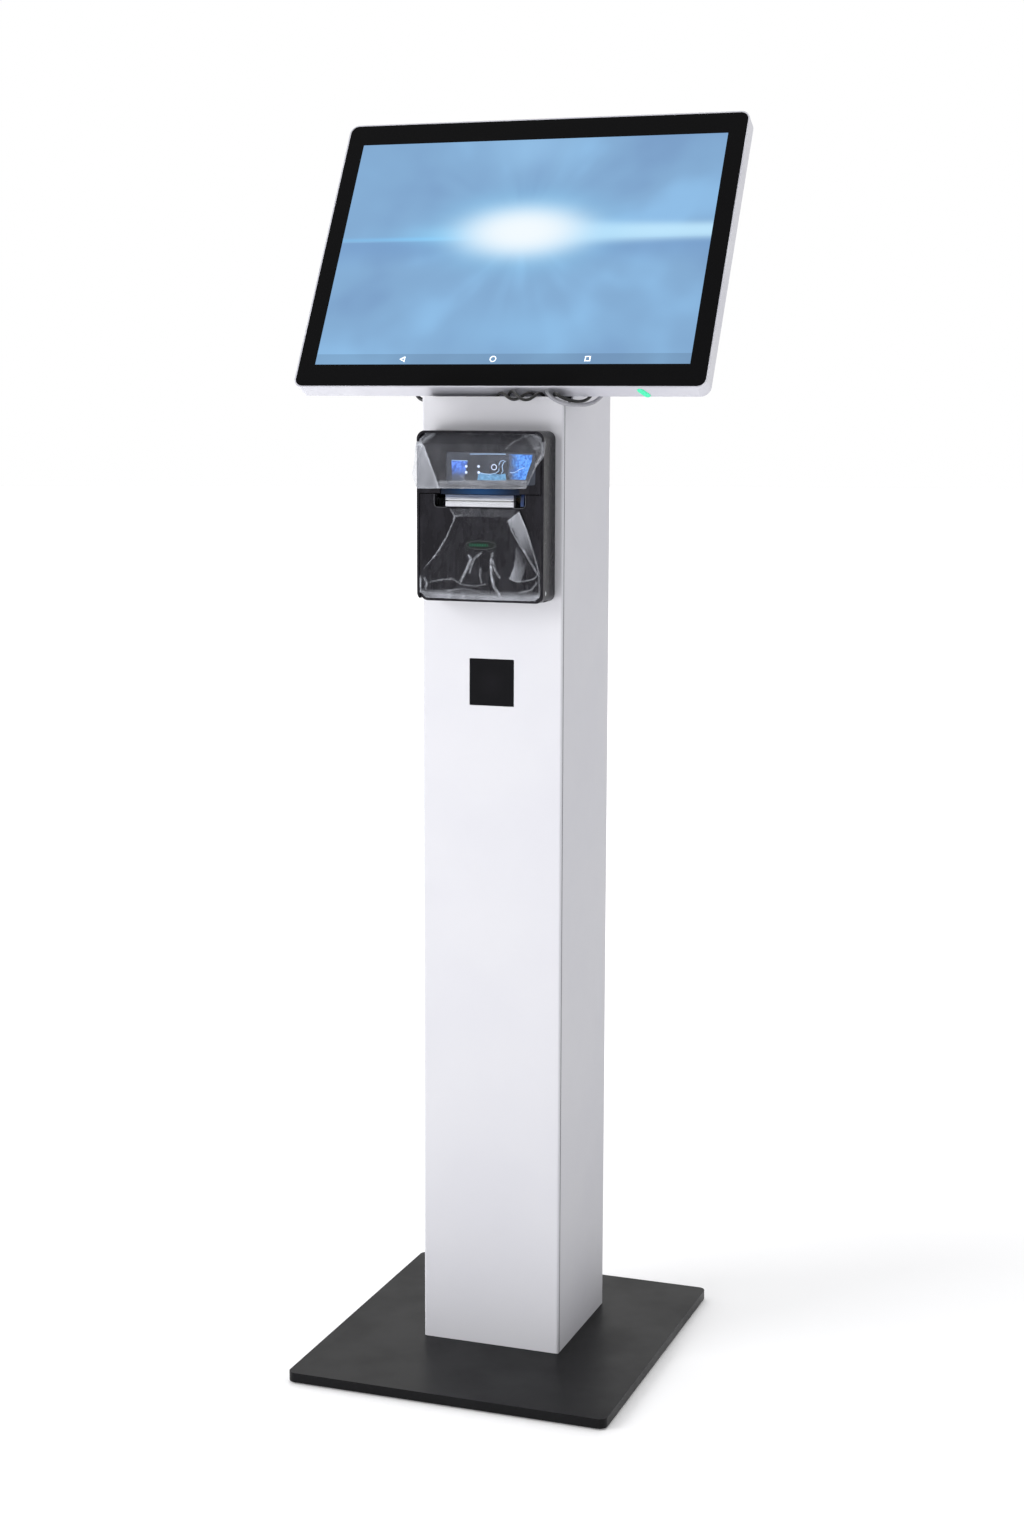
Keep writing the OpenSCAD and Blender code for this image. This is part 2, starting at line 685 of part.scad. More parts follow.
module lock_barrel() {
    color(zinc) translate([lock_x, 0, lock_z]) difference() {
        union() {
            between(strike_y, col_back + 0.5) circle(r = lock_r);
            between(col_back, col_back + 2.5) circle(r = lock_r + 2.5);
            between(col_back - sheet - 4, col_back - sheet) circle(r = lock_r + 3, $fn = 6);
        }
        between(strike_y - cut, col_back + 2.5 + cut) circle(r = core_r + run);
    }
}

module lock_cam() {
    color(zinc) translate([lock_x, 0, lock_z]) {
        difference() {
            between(strike_y - 0.5, col_back + 2.3) circle(r = core_r);
            between(col_back - 8, col_back + 2.3 + cut) square([1.2, 7], center = true);
        }
        between(strike_y - 0.5 - cam_t, strike_y - 0.5) {
            circle(r = core_r + 1);
            translate([0, 14]) square([12, 28], center = true);
        }
    }
}

// ---- mains inlet and power supply ----
module mains_inlet() {
    socket = 12;
    color(jet) translate([0, 0, inlet_z]) {
        difference() {
            union() {
                between(col_back, col_back + 3) rounded(inlet_w + 12, inlet_h, 3);
                between(col_back - 24, col_back + 0.5) square([inlet_w - 6.6, inlet_h - 14.6], center = true);
            }
            translate([0, 0, socket]) between(col_back - 17, col_back + 3 + cut) square([22, 15], center = true);
            translate([0, 0, -15]) between(col_back - 20, col_back + 3 + cut)
                square([rocker_w + 0.4, 2 * rocker_r - 7], center = true);
        }
        for (x = [-7, 0, 7]) translate([x, 0, socket + (x == 0 ? 3 : -2)])
            between(col_back - 17.5, col_back - 3) square([2, 4], center = true);
        translate([0, 0, -15]) at([col_back - 3, 0]) rod(-rocker_w / 2 - 0.5, rocker_w / 2 + 0.5, 3);
        for (x = [-1, 1]) translate([x * (inlet_w / 2 + 1), 0, 0])
            between(col_back + 2.5, col_back + 4.5) circle(d = 6);
    }
}

module power_switch() {
    tip = rocker_r - 4.5;
    color([0.12, 0.12, 0.12]) translate([0, col_back - 3, inlet_z - 15]) rotate([rocker_throw, 0, 0])
        difference() {
            along(-rocker_w / 2, rocker_w / 2)
                polygon([[-6, -tip + 3], [-6, tip - 3], [2, tip], [7.5, tip], [4.5, 0], [7.5, -tip], [2, -tip]]);
            rod(-rocker_w, rocker_w, 3 + 2 * run);
        }
}

module power_supply() {
    psu = [38, 100, 160];
    color([0.75, 0.76, 0.76]) translate([-inner_w / 2, col_y - psu[1] / 2, door_z + 20]) difference() {
        cube(psu);
        for (k = [0:9]) translate([psu[0] - 1.5, 14, 14 + 9 * k]) cube([3, 72, 3]);
        translate([6, 8, psu[2] - 12]) cube([psu[0], psu[1] - 16, 12 + cut]);
    }
    color([0.1, 0.3, 0.15]) translate([-inner_w / 2 + 12, col_y - 36, door_z + 20 + psu[2] - 12.1])
        cube([14, 72, 10]);
}

// ---- scanner ----
module scanner_window() {
    color(jet) translate([0, 0, window_z]) between(col_front, col_front + window_t)
        rounded(window, window, 0.8);
}

module scanner_frame() {
    y0 = col_front + sheet;
    color(coal) translate([0, 0, window_z]) difference() {
        union() {
            between(y0, y0 + 1) rounded(frame_w, frame_w, 4);
            between(y0 + 1, y0 + 26) rounded(frame_w - 8, frame_w - 8, 3);
        }
        between(y0 - cut, col_front + window_t) rounded(window + 0.4, window + 0.4, 1);
        between(y0 - cut, y0 + 26 + cut) rounded(window - 6, window - 6, 2);
    }
}

module scanner_module() {
    y0 = col_front + sheet + 26;
    color([0.22, 0.24, 0.26]) translate([0, 0, window_z]) {
        between(y0, y0 + 14) rounded(frame_w - 8, frame_w - 8, 3);
        between(y0 - 8, y0 + 0.1) circle(r = 9);
        for (x = [-17, 17]) translate([x, 0, 0]) between(y0 - 4, y0 + 0.1) circle(r = 4);
    }
}

// ---- printer: frame, cover and controls ----
module printer_housing() {
    color(coal) printer_frame() difference() {
        union() {
            between(-prn_out, 0) rounded(prn_w, prn_h, prn_r);
            between(-cut, tub_deep) rounded(tub_w, tub_h, 5);
        }
        between(-prn_out - cut, -prn_wall) rounded(in_w, in_h, prn_r - prn_wall);
        between(-prn_wall - cut, tub_deep - tub_wall)
            rounded(tub_w - 2 * tub_wall, tub_h - 2 * tub_wall, 3);
        translate([-in_w / 2, -prn_out - cut, -prn_h / 2 - cut]) cube([in_w, prn_out - 14, 20]);
        for (x = [-1, 1]) translate([x * prn_w / 2, 0, 0]) at(door_axis)
            along(-prn_wall - cut, prn_wall + cut) circle(d = 6);
    }
}

module printer_cover() {
    top = in_h / 2 - 0.5;
    color(jet) printer_frame() difference() {
        intersection() {
            along(-in_w / 2 + 0.5, in_w / 2 - 0.5)
                polygon([[-28, split + 0.5], [-face, split + 0.5], [-face, top - 12], [-face + 8, top],
                    [-22, top], [-22, top - skin], [-face + 9, top - skin],
                    [-face + skin, top - 13], [-face + skin, split + 0.5 + skin], [-28, split + 0.5 + skin]]);
            between(-face - cut, 0) rounded(in_w - 1, in_h - 1, prn_r - prn_wall);
        }
        translate([label_x, 0, label_z]) between(-face - cut, -face + 1) rounded(label_w, label_h, 3);
        translate([feed_x, 0, feed_z]) between(-face - cut, -face + skin + cut) circle(r = feed_r + 0.3);
        for (p = lamps) translate([p[0], 0, p[1]]) between(-face - cut, -face + skin + cut) circle(r = lamp_r + run);
        translate([-guide_w / 2, -face - cut, split - cut]) cube([guide_w, face - 28, guide_h + cut + 0.5]);
        translate([lever_x - 0.4, -face + skin + 0.5, split - cut]) cube([lever_w + 0.7, 14, 9]);
    }
    color(jet) printer_frame() {
        along(lever_x + lever_w + 0.3, lever_x + lever_w + 3)
            polygon([[-face + 1, split + 1], [-26, split + 1], [-26, split + 8], [-face + 1, split + 8]]);
        at(lever_pivot) rod(lever_x, lever_x + lever_w + 1, 3);
    }
}

guide_w = 2 * plate_x;
guide_h = 6.5;

module light_guide() {
    color([0.08, 0.18, 0.45]) printer_frame()
        translate([-guide_w / 2 + 0.2, -face + 2, split - 0.6]) cube([guide_w - 0.4, 7, guide_h + 0.6]);
}

module control_label() {
    color([0.2, 0.24, 0.32]) printer_frame() difference() {
        translate([label_x, 0, label_z]) between(-face + 0.2, -face + 1) rounded(label_w - 0.4, label_h - 0.4, 3);
        translate([feed_x, 0, feed_z]) between(-face - cut, -face + skin + cut) circle(r = feed_r + 0.3);
        for (p = lamps) translate([p[0], 0, p[1]]) between(-face - cut, -face + skin) circle(r = lamp_r + run);
    }
}

module status_lamps() {
    color([0.85, 0.92, 1]) printer_frame() for (p = lamps) translate([p[0], 0, p[1]]) {
        between(-face - 0.1, -face + skin + 0.1) circle(r = lamp_r);
        between(-face + skin, -face + skin + 2) circle(r = lamp_r + 0.8);
    }
}

module feed_button() {
    color([0.3, 0.34, 0.42]) printer_frame() translate([feed_x, 0, feed_z]) {
        between(-face - 0.3, -face + skin + 0.2) circle(r = feed_r);
        between(-face + skin + 0.1, -face + skin + 1.6) circle(r = feed_r + 1.2);
    }
}

// ---- printer: mechanism ----
module tear_bar() {
    color([0.9, 0.9, 0.92]) printer_frame() along(-bar_w / 2, bar_w / 2)
        polygon([[-face + 0.6, slot_z + slot_gap / 2], [-face, slot_z + 1.2], [-face + 0.3, split - 1.2],
            [-face + 1.4, split - 0.7], [-22, split - 0.7], [-22, split - 2.2], [-33, split - 2.2],
            [-34, slot_z + slot_gap / 2]]);
}

module print_frame() {
    color([0.55, 0.56, 0.58]) printer_frame() difference() {
        union() {
            both_sides() {
                along(plate_x, plate_x + plate_t) polygon([[-19.5, 4], [-19.5, split - 2.2], [16, split - 2.2],
                    [16, -14], [-8, -14]]);
                translate([plate_x, 10, -10]) cube([tub_w / 2 - tub_wall - plate_x, 6, 30]);
            }
            translate([-plate_x - 0.5, -16, split - 10]) cube([2 * plate_x + 1, 6, 7.8]);
            at(idler) rod(plate_x + plate_t - 0.5, gear_x + gear_w + 1.5, 3);
        }
        at(pinion) rod(plate_x - cut, plate_x + plate_t + cut, 6);
    }
}

module print_head() {
    color([0.72, 0.66, 0.5]) printer_frame()
        translate([-bar_w / 2 + 1, paper_line + paper_t / 2 + 0.1, 3])
            cube([bar_w - 2, -16 - paper_line - paper_t / 2 - 0.1, 19]);
}

module step_motor() {
    color([0.6, 0.61, 0.63]) printer_frame() at(pinion) difference() {
        rod(plate_x - motor_l, plate_x, 2 * motor_r);
        rod(plate_x - 6, plate_x + cut, 2 + 2 * run);
    }
}

module motor_pinion() {
    color([0.9, 0.88, 0.8]) printer_frame() at(pinion) {
        rod(plate_x - 5.5, gear_x + 0.1, 2);
        along(gear_x, gear_x + gear_w) gear_shape(pinion_teeth, pinion_phase);
    }
}

module idler_gear() {
    color([0.9, 0.88, 0.8]) printer_frame() at(idler) along(gear_x, gear_x + gear_w) difference() {
        gear_shape(idler_teeth, idler_phase);
        circle(d = 3 + 2 * run);
    }
}

module platen_roller() {
    color([0.13, 0.13, 0.14]) printer_frame() at(platen) {
        rod(-bar_w / 2 + 1, bar_w / 2 - 1, platen_d);
        rod(-bar_w / 2 - 8, gear_x + 0.1, 5);
        along(gear_x, gear_x + gear_w) gear_shape(platen_teeth, 0);
    }
}

module paper_roll() {
    color([0.97, 0.97, 0.96]) printer_frame() at(roll) difference() {
        rod(-roll_w / 2, roll_w / 2, roll_d);
        rod(-roll_w / 2 - cut, roll_w / 2 + cut, 12 + 2 * run);
    }
}

module paper_bucket() {
    outer = roll_r + bucket_gap + 1.5;
    cheek = roll_w / 2 + 0.6;
    back = tub_deep - tub_wall - roll[0];
    color([0.2, 0.2, 0.22]) printer_frame() at(roll) {
        along(-cheek - 1.5, cheek + 1.5) difference() {
            circle(r = outer);
            circle(r = roll_r + bucket_gap);
            translate([-outer - cut, -12]) square([2 * outer + 2 * cut, outer + 20]);
            translate([-outer - cut, -outer - cut]) square([outer - 9, outer]);
        }
        both_sides() along(cheek, cheek + 1.5)
            polygon([[-8, 8], [8, 8], [back, 8], [back, -12], [16, -outer + 7], [-10, -outer + 6]]);
        rod(-cheek - 0.5, cheek + 0.5, 12);
    }
}

module paper_strip() {
    arc = 6;
    outer = platen_r + 0.5 + paper_t / 2;
    inner = outer - paper_t;
    front = [-face + 0.4, slot_z];
    color([0.98, 0.98, 0.97]) printer_frame() along(-roll_w / 2, roll_w / 2)
        polygon(concat(
            [[paper_line + paper_t / 2, roll[1] + 0.2]],
            [for (k = [0:arc]) platen + outer * [cos(90 * k / arc), sin(90 * k / arc)]],
            [[front[0], front[1] + paper_t / 2], [front[0], front[1] - paper_t / 2]],
            [for (k = [arc:-1:0]) platen + inner * [cos(90 * k / arc), sin(90 * k / arc)]],
            [[paper_line - paper_t / 2, roll[1] + 0.2]]));
}

// ---- printer: front door ----
module printer_door() {
    low = -prn_h / 2;
    wide = in_w / 2 - 0.5;
    color(jet) printer_frame() difference() {
        union() {
            intersection() {
                along(-wide, wide)
                    polygon([[-30, split - 0.5], [-face + 2, split - 0.5], [-face + 2, low + 11], [-face + 7, low],
                        [-22, low], [-22, low + skin], [-face + 9, low + skin], [-face + 2 + skin, low + 12],
                        [-face + 2 + skin, split - 0.5 - skin], [-30, split - 0.5 - skin]]);
                between(-face, 0) translate([0, 20]) rounded(2 * wide, prn_h + 40, prn_r - prn_wall + 1);
            }
            between(-face + 2 - apron_t, -face + 2.1)
                polygon([[-50, outlet_floor - 1], [50, outlet_floor - 1], [72, -57], [wide - 1, low + 14],
                    [-wide + 1, low + 14], [-72, -57]]);
            between(-face + 2, -face + 8) translate([0, outlet_floor - skin / 2])
                square([outlet_w + 2, skin], center = true);
            both_sides() {
                translate([46, -face + 3, outlet_floor - skin]) cube([3.5, face + platen[0] + 2, skin]);
                along(46, 49.5) {
                    translate(platen) circle(r = 5.5);
                    polygon([[platen[0] - 3, platen[1] + 4], [platen[0] + 5, platen[1]],
                        [platen[0] + 5, outlet_floor - skin], [-face + 8, outlet_floor - skin],
                        [-face + 8, outlet_floor]]);
                }
                along(wide - 6.5, wide) {
                    translate(door_axis) circle(r = 6);
                    translate([-face + 4, door_axis[1] - 5]) square([face - 4 + door_axis[0], 10]);
                }
            }
        }
        translate([-outlet_w / 2, -face - cut, outlet_floor]) cube([outlet_w, 9 + cut, split]);
        translate([-45.9, -face - cut, outlet_floor]) cube([91.8, face + cut, split]);
        translate([-outlet_w / 2, -face, platen[1] + 6.5]) cube([outlet_w, face, split]);
        both_sides() translate([49.6, -face - cut, outlet_floor]) cube([outlet_w / 2 - 49.6, face + cut, split]);
        at(platen) rod(-60, 60, 5 + 2 * run);
        at(door_axis) rod(-prn_w, prn_w, 6 + 2 * run);
    }
}

module guide_bar() {
    color([0.9, 0.9, 0.92]) printer_frame() along(-bar_w / 2, bar_w / 2)
        polygon([[-face + 1.2, outlet_floor], [-face + 0.1, outlet_floor + 1], [-face + 0.1, slot_z - 1.2],
            [-face + 0.8, slot_z - slot_gap / 2], [-34.5, slot_z - slot_gap / 2], [-34.5, outlet_floor]]);
}

module door_pins() {
    color(zinc) printer_frame() both_sides() at(door_axis) rod(in_w / 2 - 6.5, prn_w / 2 - 0.4, 6 - 2 * run);
}

module release_lever() {
    color([0.1, 0.25, 0.6]) printer_frame() difference() {
        along(lever_x, lever_x + lever_w)
            polygon([lever_pivot + [-3.4, 3.4], lever_pivot + [3.4, 3.4], lever_pivot + [3.4, -4],
                [-33, outlet_floor + 1.5], [-39, outlet_floor + 1.5], [-39.5, outlet_floor + 6],
                [-37, split - 4]]);
        at(lever_pivot) rod(lever_x - cut, lever_x + lever_w + cut, 3 + 2 * run);
    }
}

module badge() {
    color([0.05, 0.3, 0.2]) printer_frame() translate([2, 0, -33])
        between(-face + 2 - apron_t - 0.4, -face + 2 - apron_t) slot_shape(40, 11);
}

// ---- protective film ----
module film_upper() {
    top = in_h / 2 - 0.5;
    front = -face - 0.3 - film_gap;
    color([0.8, 0.85, 0.9, 0.35]) printer_frame() intersection() {
        along(-in_w / 2 + 1, in_w / 2 - 1)
            polygon([[front, split + 8], [front - film_t, split + 8], [front - film_t, top - 11.7],
                [-face + 7 - film_gap - film_t, top - 1], [-face + 7 - film_gap, top - 1], [front, top - 12]]);
        between(-face - 3, 0) rounded(in_w - 2, in_h - 2, prn_r - prn_wall);
    }
}

module film_lower() {
    wide = in_w / 2 - 2;
    y1 = -face + 2 - apron_t - 0.4 - film_gap;
    color([0.8, 0.85, 0.9, 0.35]) printer_frame() between(y1 - film_t, y1)
        polygon([[-49, outlet_floor - 2], [49, outlet_floor - 2], [71, -57], [wide, -prn_h / 2 + 16],
            [-wide, -prn_h / 2 + 16], [-71, -57]]);
}

module cable_left() { color(jet) cable(left_route, left_d); }
module cable_front_a() { color(jet) cable(front_a_route, front_d); }
module cable_front_b() { color(jet) cable(front_b_route, front_d); }
module cable_black() { color(jet) cable(black_route, black_d); }
module cable_grey() { color([0.6, 0.6, 0.63]) cable(grey_route, grey_d); }

base_plate();
foot_pads();
column_flange();
frame_bolts();
column_shell();
front_panel();
panel_nuts();
column_cap();
cable_grommets();
tilt_base();
tilt_pins();
friction_washers();
display_bracket();
bracket_screws();
display_case();
touch_glass();
lcd_panel();
main_board();
speakers();
rear_cover();
power_button();
cable_plugs();
rear_door();
hinge_pins();
lock_barrel();
lock_cam();
mains_inlet();
power_switch();
power_supply();
scanner_window();
scanner_frame();
scanner_module();
printer_housing();
printer_cover();
control_label();
light_guide();
status_lamps();
feed_button();
tear_bar();
print_frame();
print_head();
step_motor();
motor_pinion();
idler_gear();
platen_roller();
paper_roll();
paper_bucket();
paper_strip();
printer_door();
guide_bar();
door_pins();
release_lever();
badge();
film_upper();
film_lower();
cable_left();
cable_front_a();
cable_front_b();
cable_black();
cable_grey();
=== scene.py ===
import math
import bpy
from mathutils import Matrix, Vector, noise


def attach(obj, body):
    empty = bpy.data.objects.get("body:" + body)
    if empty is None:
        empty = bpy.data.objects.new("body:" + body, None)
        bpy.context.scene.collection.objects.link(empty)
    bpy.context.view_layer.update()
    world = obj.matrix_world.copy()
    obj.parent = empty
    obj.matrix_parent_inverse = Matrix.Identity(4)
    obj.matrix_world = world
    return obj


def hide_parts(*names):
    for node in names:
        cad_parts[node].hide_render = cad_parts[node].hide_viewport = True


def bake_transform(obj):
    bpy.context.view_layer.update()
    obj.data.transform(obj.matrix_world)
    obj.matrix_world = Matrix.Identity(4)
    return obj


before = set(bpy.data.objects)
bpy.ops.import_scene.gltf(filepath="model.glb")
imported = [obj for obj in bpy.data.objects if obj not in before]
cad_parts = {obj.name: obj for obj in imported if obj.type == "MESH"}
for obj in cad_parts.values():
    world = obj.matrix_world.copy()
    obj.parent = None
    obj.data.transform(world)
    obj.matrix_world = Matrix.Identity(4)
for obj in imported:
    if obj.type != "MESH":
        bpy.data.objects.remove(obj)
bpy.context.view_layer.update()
print("frame loaded:", len(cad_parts), "parts")

stage = bpy.context.scene
stage.view_settings.view_transform = "Standard"


# camera
cameraSet = {
    "place": (0.99743, -2.76441, 1.19705),
    "turn": (81.228, -0.164, 19.754),
    "lens": 56.16,
}
bpy.ops.object.camera_add(location=cameraSet["place"],
                          rotation=[math.radians(a) for a in cameraSet["turn"]])
camera = bpy.context.object
camera.name = "camera"
camera.data.lens = cameraSet["lens"]
camera.data.sensor_width = 36
camera.data.clip_end = 60
stage.camera = camera


# small tools used everywhere
meshSet = {"weld": 2e-6, "flat": 0.5, "smooth": 32, "smoothCable": 40, "smoothFilm": 70}


def pickNone():
    if bpy.context.mode != "OBJECT":
        bpy.ops.object.mode_set(mode="OBJECT")
    bpy.ops.object.select_all(action="DESELECT")


def takeUp(obj):
    pickNone()
    obj.select_set(True)
    bpy.context.view_layer.objects.active = obj
    return obj


def applyPlace(obj):  # the place goes into the mesh, the object stays at the origin
    takeUp(obj)
    bpy.ops.object.transform_apply(location=True, rotation=True, scale=True)


def runModifier(obj, kind, **settings):  # adds one modifier and applies it
    takeUp(obj)
    mod = obj.modifiers.new(kind.title(), kind)
    for key, value in settings.items():
        setattr(mod, key, value)
    bpy.ops.object.modifier_apply(modifier=mod.name)


def pullOut(obj, way):  # an open sheet pulled out into a closed piece
    takeUp(obj)
    bpy.ops.object.mode_set(mode="EDIT")
    bpy.ops.mesh.select_all(action="SELECT")
    bpy.ops.mesh.extrude_region_move(TRANSFORM_OT_translate={"value": way})
    bpy.ops.mesh.select_all(action="SELECT")
    bpy.ops.mesh.normals_make_consistent(inside=False)
    bpy.ops.object.mode_set(mode="OBJECT")


def softEdges(obj, width, segments=2, angle=38):
    if width:
        runModifier(obj, "BEVEL", width=width / 1000, segments=segments, limit_method="ANGLE",
                    angle_limit=math.radians(angle), use_clamp_overlap=True, miter_outer="MITER_ARC")
    takeUp(obj)
    bpy.ops.object.shade_smooth_by_angle(angle=math.radians(meshSet["smooth"]))
    runModifier(obj, "WEIGHTED_NORMAL", mode="FACE_AREA", weight=90, keep_sharp=True)  # flats stay flat


def castFrom(node, name):  # a joined-up copy of a machine part that can be worked on
    pickNone()
    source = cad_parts[node]
    obj = source.copy()
    obj.data = source.data.copy()
    obj.name = name
    obj.data.name = name
    for key in list(obj.keys()):
        del obj[key]
    obj.parent = None
    obj.matrix_world = Matrix.Identity(4)
    obj.hide_render = obj.hide_viewport = False
    stage.collection.objects.link(obj)
    obj.data.materials.clear()
    takeUp(obj)
    if obj.data.has_custom_normals:
        bpy.ops.mesh.customdata_custom_splitnormals_clear()
    bpy.ops.object.mode_set(mode="EDIT")
    bpy.ops.mesh.select_all(action="SELECT")
    bpy.ops.mesh.remove_doubles(threshold=meshSet["weld"])
    bpy.ops.mesh.dissolve_limited(angle_limit=math.radians(meshSet["flat"]))
    bpy.ops.object.mode_set(mode="OBJECT")
    return obj


def giveFinish(obj, finish):
    obj.data.materials.clear()
    obj.data.materials.append(finish)


def dress(node, body, slotName, finish, edge, segments=2):  # a copy named for its part, edges softened
    first, *rest = node.split("_")
    obj = castFrom(node, first + "".join(word.title() for word in rest))
    softEdges(obj, edge, segments)
    giveFinish(obj, finish)
    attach(obj, body)
    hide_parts(node)
    return obj


def paintOver(node, finish):  # a part that stays as it is and only gets its paint
    giveFinish(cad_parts[node], finish)


# finishes
def linearColour(code):  # screen colour code to the linear colour a shader takes
    parts = [int(code[i:i + 2], 16) / 255 for i in (0, 2, 4)]
    return [c / 12.92 if c <= 0.04045 else ((c + 0.055) / 1.055) ** 2.4 for c in parts] + [1.0]


def addNode(tree, kind, wires=None, **settings):  # one node, its settings, its links
    node = tree.nodes.new("ShaderNode" + kind)
    for key, value in settings.items():
        setattr(node, key, value)
    for key, value in (wires or {}).items():
        if isinstance(value, bpy.types.NodeSocket):
            tree.links.new(value, node.inputs[key])
        else:
            node.inputs[key].default_value = value
    return node


def calc(tree, operation, *values, clamp=False):
    return addNode(tree, "Math", dict(enumerate(values)), operation=operation, use_clamp=clamp).outputs[0]


def overPart(tree, stretch=(1, 1, 1), centre=(0, 0, 0), turn=(0, 0, 0)):
    coords = addNode(tree, "TexCoord").outputs["Object"]
    if centre == (0, 0, 0) and turn == (0, 0, 0) and stretch == (1, 1, 1):
        return coords
    kind = "POINT" if centre == (0, 0, 0) and turn == (0, 0, 0) else "TEXTURE"
    return addNode(tree, "Mapping", {"Vector": coords, "Location": centre, "Rotation": turn,
                                     "Scale": stretch}, vector_type=kind).outputs[0]


def grain(tree, size, detail=3.0, roughness=0.55, coords=None):  # noise with features of that size in mm
    wires = {"Scale": 1000 / size, "Detail": detail, "Roughness": roughness}
    wires["Vector"] = coords or overPart(tree)
    return addNode(tree, "TexNoise", wires).outputs[0]


def blendColours(tree, share, first, second, mode="MIX"):
    return addNode(tree, "Mix", {0: share, 6: first, 7: second}, data_type="RGBA",
                   blend_type=mode, clamp_result=True).outputs[2]


def fade(tree, value, low, high, start=0.0, end=1.0):  # smooth step between two values
    return addNode(tree, "MapRange", {"Value": value, "From Min": low, "From Max": high,
                                      "To Min": start, "To Max": end},
                   interpolation_type="SMOOTHSTEP").outputs[0]


def startFinish(name, colour, rough, **sockets):
    finish = bpy.data.materials.new(name)
    finish.use_nodes = True
    shader = finish.node_tree.nodes["Principled BSDF"]
    shader.inputs["Base Color"].default_value = linearColour(colour)
    shader.inputs["Roughness"].default_value = rough
    for key, value in sockets.items():
        shader.inputs[key.replace("_", " ")].default_value = value
    finish.diffuse_color = linearColour(colour)
    return finish, finish.node_tree, shader


def tone(tree, shader, share, first, second):
    tree.links.new(blendColours(tree, share, linearColour(first), linearColour(second)),
                   shader.inputs["Base Color"])


def gloss(tree, shader, share, low, high):
    tree.links.new(fade(tree, share, 0.3, 0.7, low, high), shader.inputs["Roughness"])


def relief(tree, shader, height, depth, strength=1.0):  # depth in mm
    bump = addNode(tree, "Bump", {"Height": height, "Distance": depth / 1000, "Strength": strength})
    tree.links.new(bump.outputs[0], shader.inputs["Normal"])


def silverCoat():  # satin silver-grey powder coat: fine orange peel and a very faint cloudiness
    finish, tree, shader = startFinish("silverPowderCoat", "c4c4ca", 0.58, Specular_IOR_Level=0.25)
    cloud = grain(tree, 160, 2)
    peel = grain(tree, 1.1, 2)
    tone(tree, shader, fade(tree, cloud, 0.3, 0.7), "c3c3c9", "c6c6cb")
    gloss(tree, shader, grain(tree, 22, 2), 0.56, 0.61)
    relief(tree, shader, peel, 0.02, 0.35)
    return finish


def caseLacquer():  # smooth satin lacquer on the display's cast case, finer than the column's coat
    finish, tree, shader = startFinish("caseLacquer", "c2c2ca", 0.32, Metallic=0.2,
                                       Coat_Weight=0.25, Coat_Roughness=0.2)
    tone(tree, shader, fade(tree, grain(tree, 90, 2), 0.3, 0.7), "bebec7", "c6c6cd")
    gloss(tree, shader, grain(tree, 9, 3), 0.29, 0.36)
    relief(tree, shader, grain(tree, 0.7, 2), 0.01, 0.3)
    return finish


def blackCoat(name, dark, light, pebble=1.3, rough=(0.32, 0.42)):  # satin black powder coat, finely pebbled
    finish, tree, shader = startFinish(name, dark, rough[0], Specular_IOR_Level=0.14)
    pits = addNode(tree, "TexVoronoi", {"Vector": overPart(tree), "Scale": 1000 / pebble},
                   feature="SMOOTH_F1").outputs["Distance"]
    scuff = grain(tree, 120, 3, 0.5)
    tone(tree, shader, fade(tree, scuff, 0.42, 0.72), dark, light)
    gloss(tree, shader, grain(tree, 90, 3), *rough)
    relief(tree, shader, pits, 0.03, 0.25)
    return finish


def softRubber():  # matt black rubber with a dusty bloom
    finish, tree, shader = startFinish("softRubber", "161616", 0.85)
    tone(tree, shader, fade(tree, grain(tree, 6, 4), 0.45, 0.75), "141414", "262524")
    relief(tree, shader, grain(tree, 0.6, 2), 0.04, 0.4)
    return finish


def zincPlate(name="zincPlate", colour="b9bcc0", light="d2d4d6"):  # bright zinc, slightly patchy
    finish, tree, shader = startFinish(name, colour, 0.34, Metallic=1.0)
    tone(tree, shader, fade(tree, grain(tree, 3, 3), 0.35, 0.7), colour, light)
    gloss(tree, shader, grain(tree, 1.5, 3), 0.26, 0.44)
    relief(tree, shader, grain(tree, 0.4, 2), 0.01, 0.4)
    return finish


def galvanised():  # spangled galvanised sheet on the supply's case and the frame
    finish, tree, shader = startFinish("galvanisedSheet", "a9adb1", 0.4, Metallic=1.0)
    spangle = addNode(tree, "TexVoronoi", {"Vector": overPart(tree), "Scale": 1000 / 7}).outputs["Color"]
    share = addNode(tree, "SeparateColor", {0: spangle}).outputs[0]
    tone(tree, shader, share, "9fa4a8", "bcc0c3")
    gloss(tree, shader, share, 0.33, 0.48)
    return finish


def frictionDisc():  # brown friction disc with fibres
    finish, tree, shader = startFinish("frictionDisc", "7d6a42", 0.6)
    tone(tree, shader, fade(tree, grain(tree, 0.8, 4), 0.35, 0.7), "6d5b38", "8f7a4e")
    relief(tree, shader, grain(tree, 0.5, 2), 0.03, 0.4)
    return finish


def mouldedBlack(name="mouldedBlack", dark="17171a", light="202024", rough=(0.38, 0.5), spark=0.35):
    finish, tree, shader = startFinish(name, dark, rough[0])  # black moulded plastic, fine spark grain
    tone(tree, shader, fade(tree, grain(tree, 25, 3), 0.35, 0.7), dark, light)
    gloss(tree, shader, grain(tree, 12, 3), *rough)
    relief(tree, shader, grain(tree, 0.5, 2), 0.02, spark)
    return finish


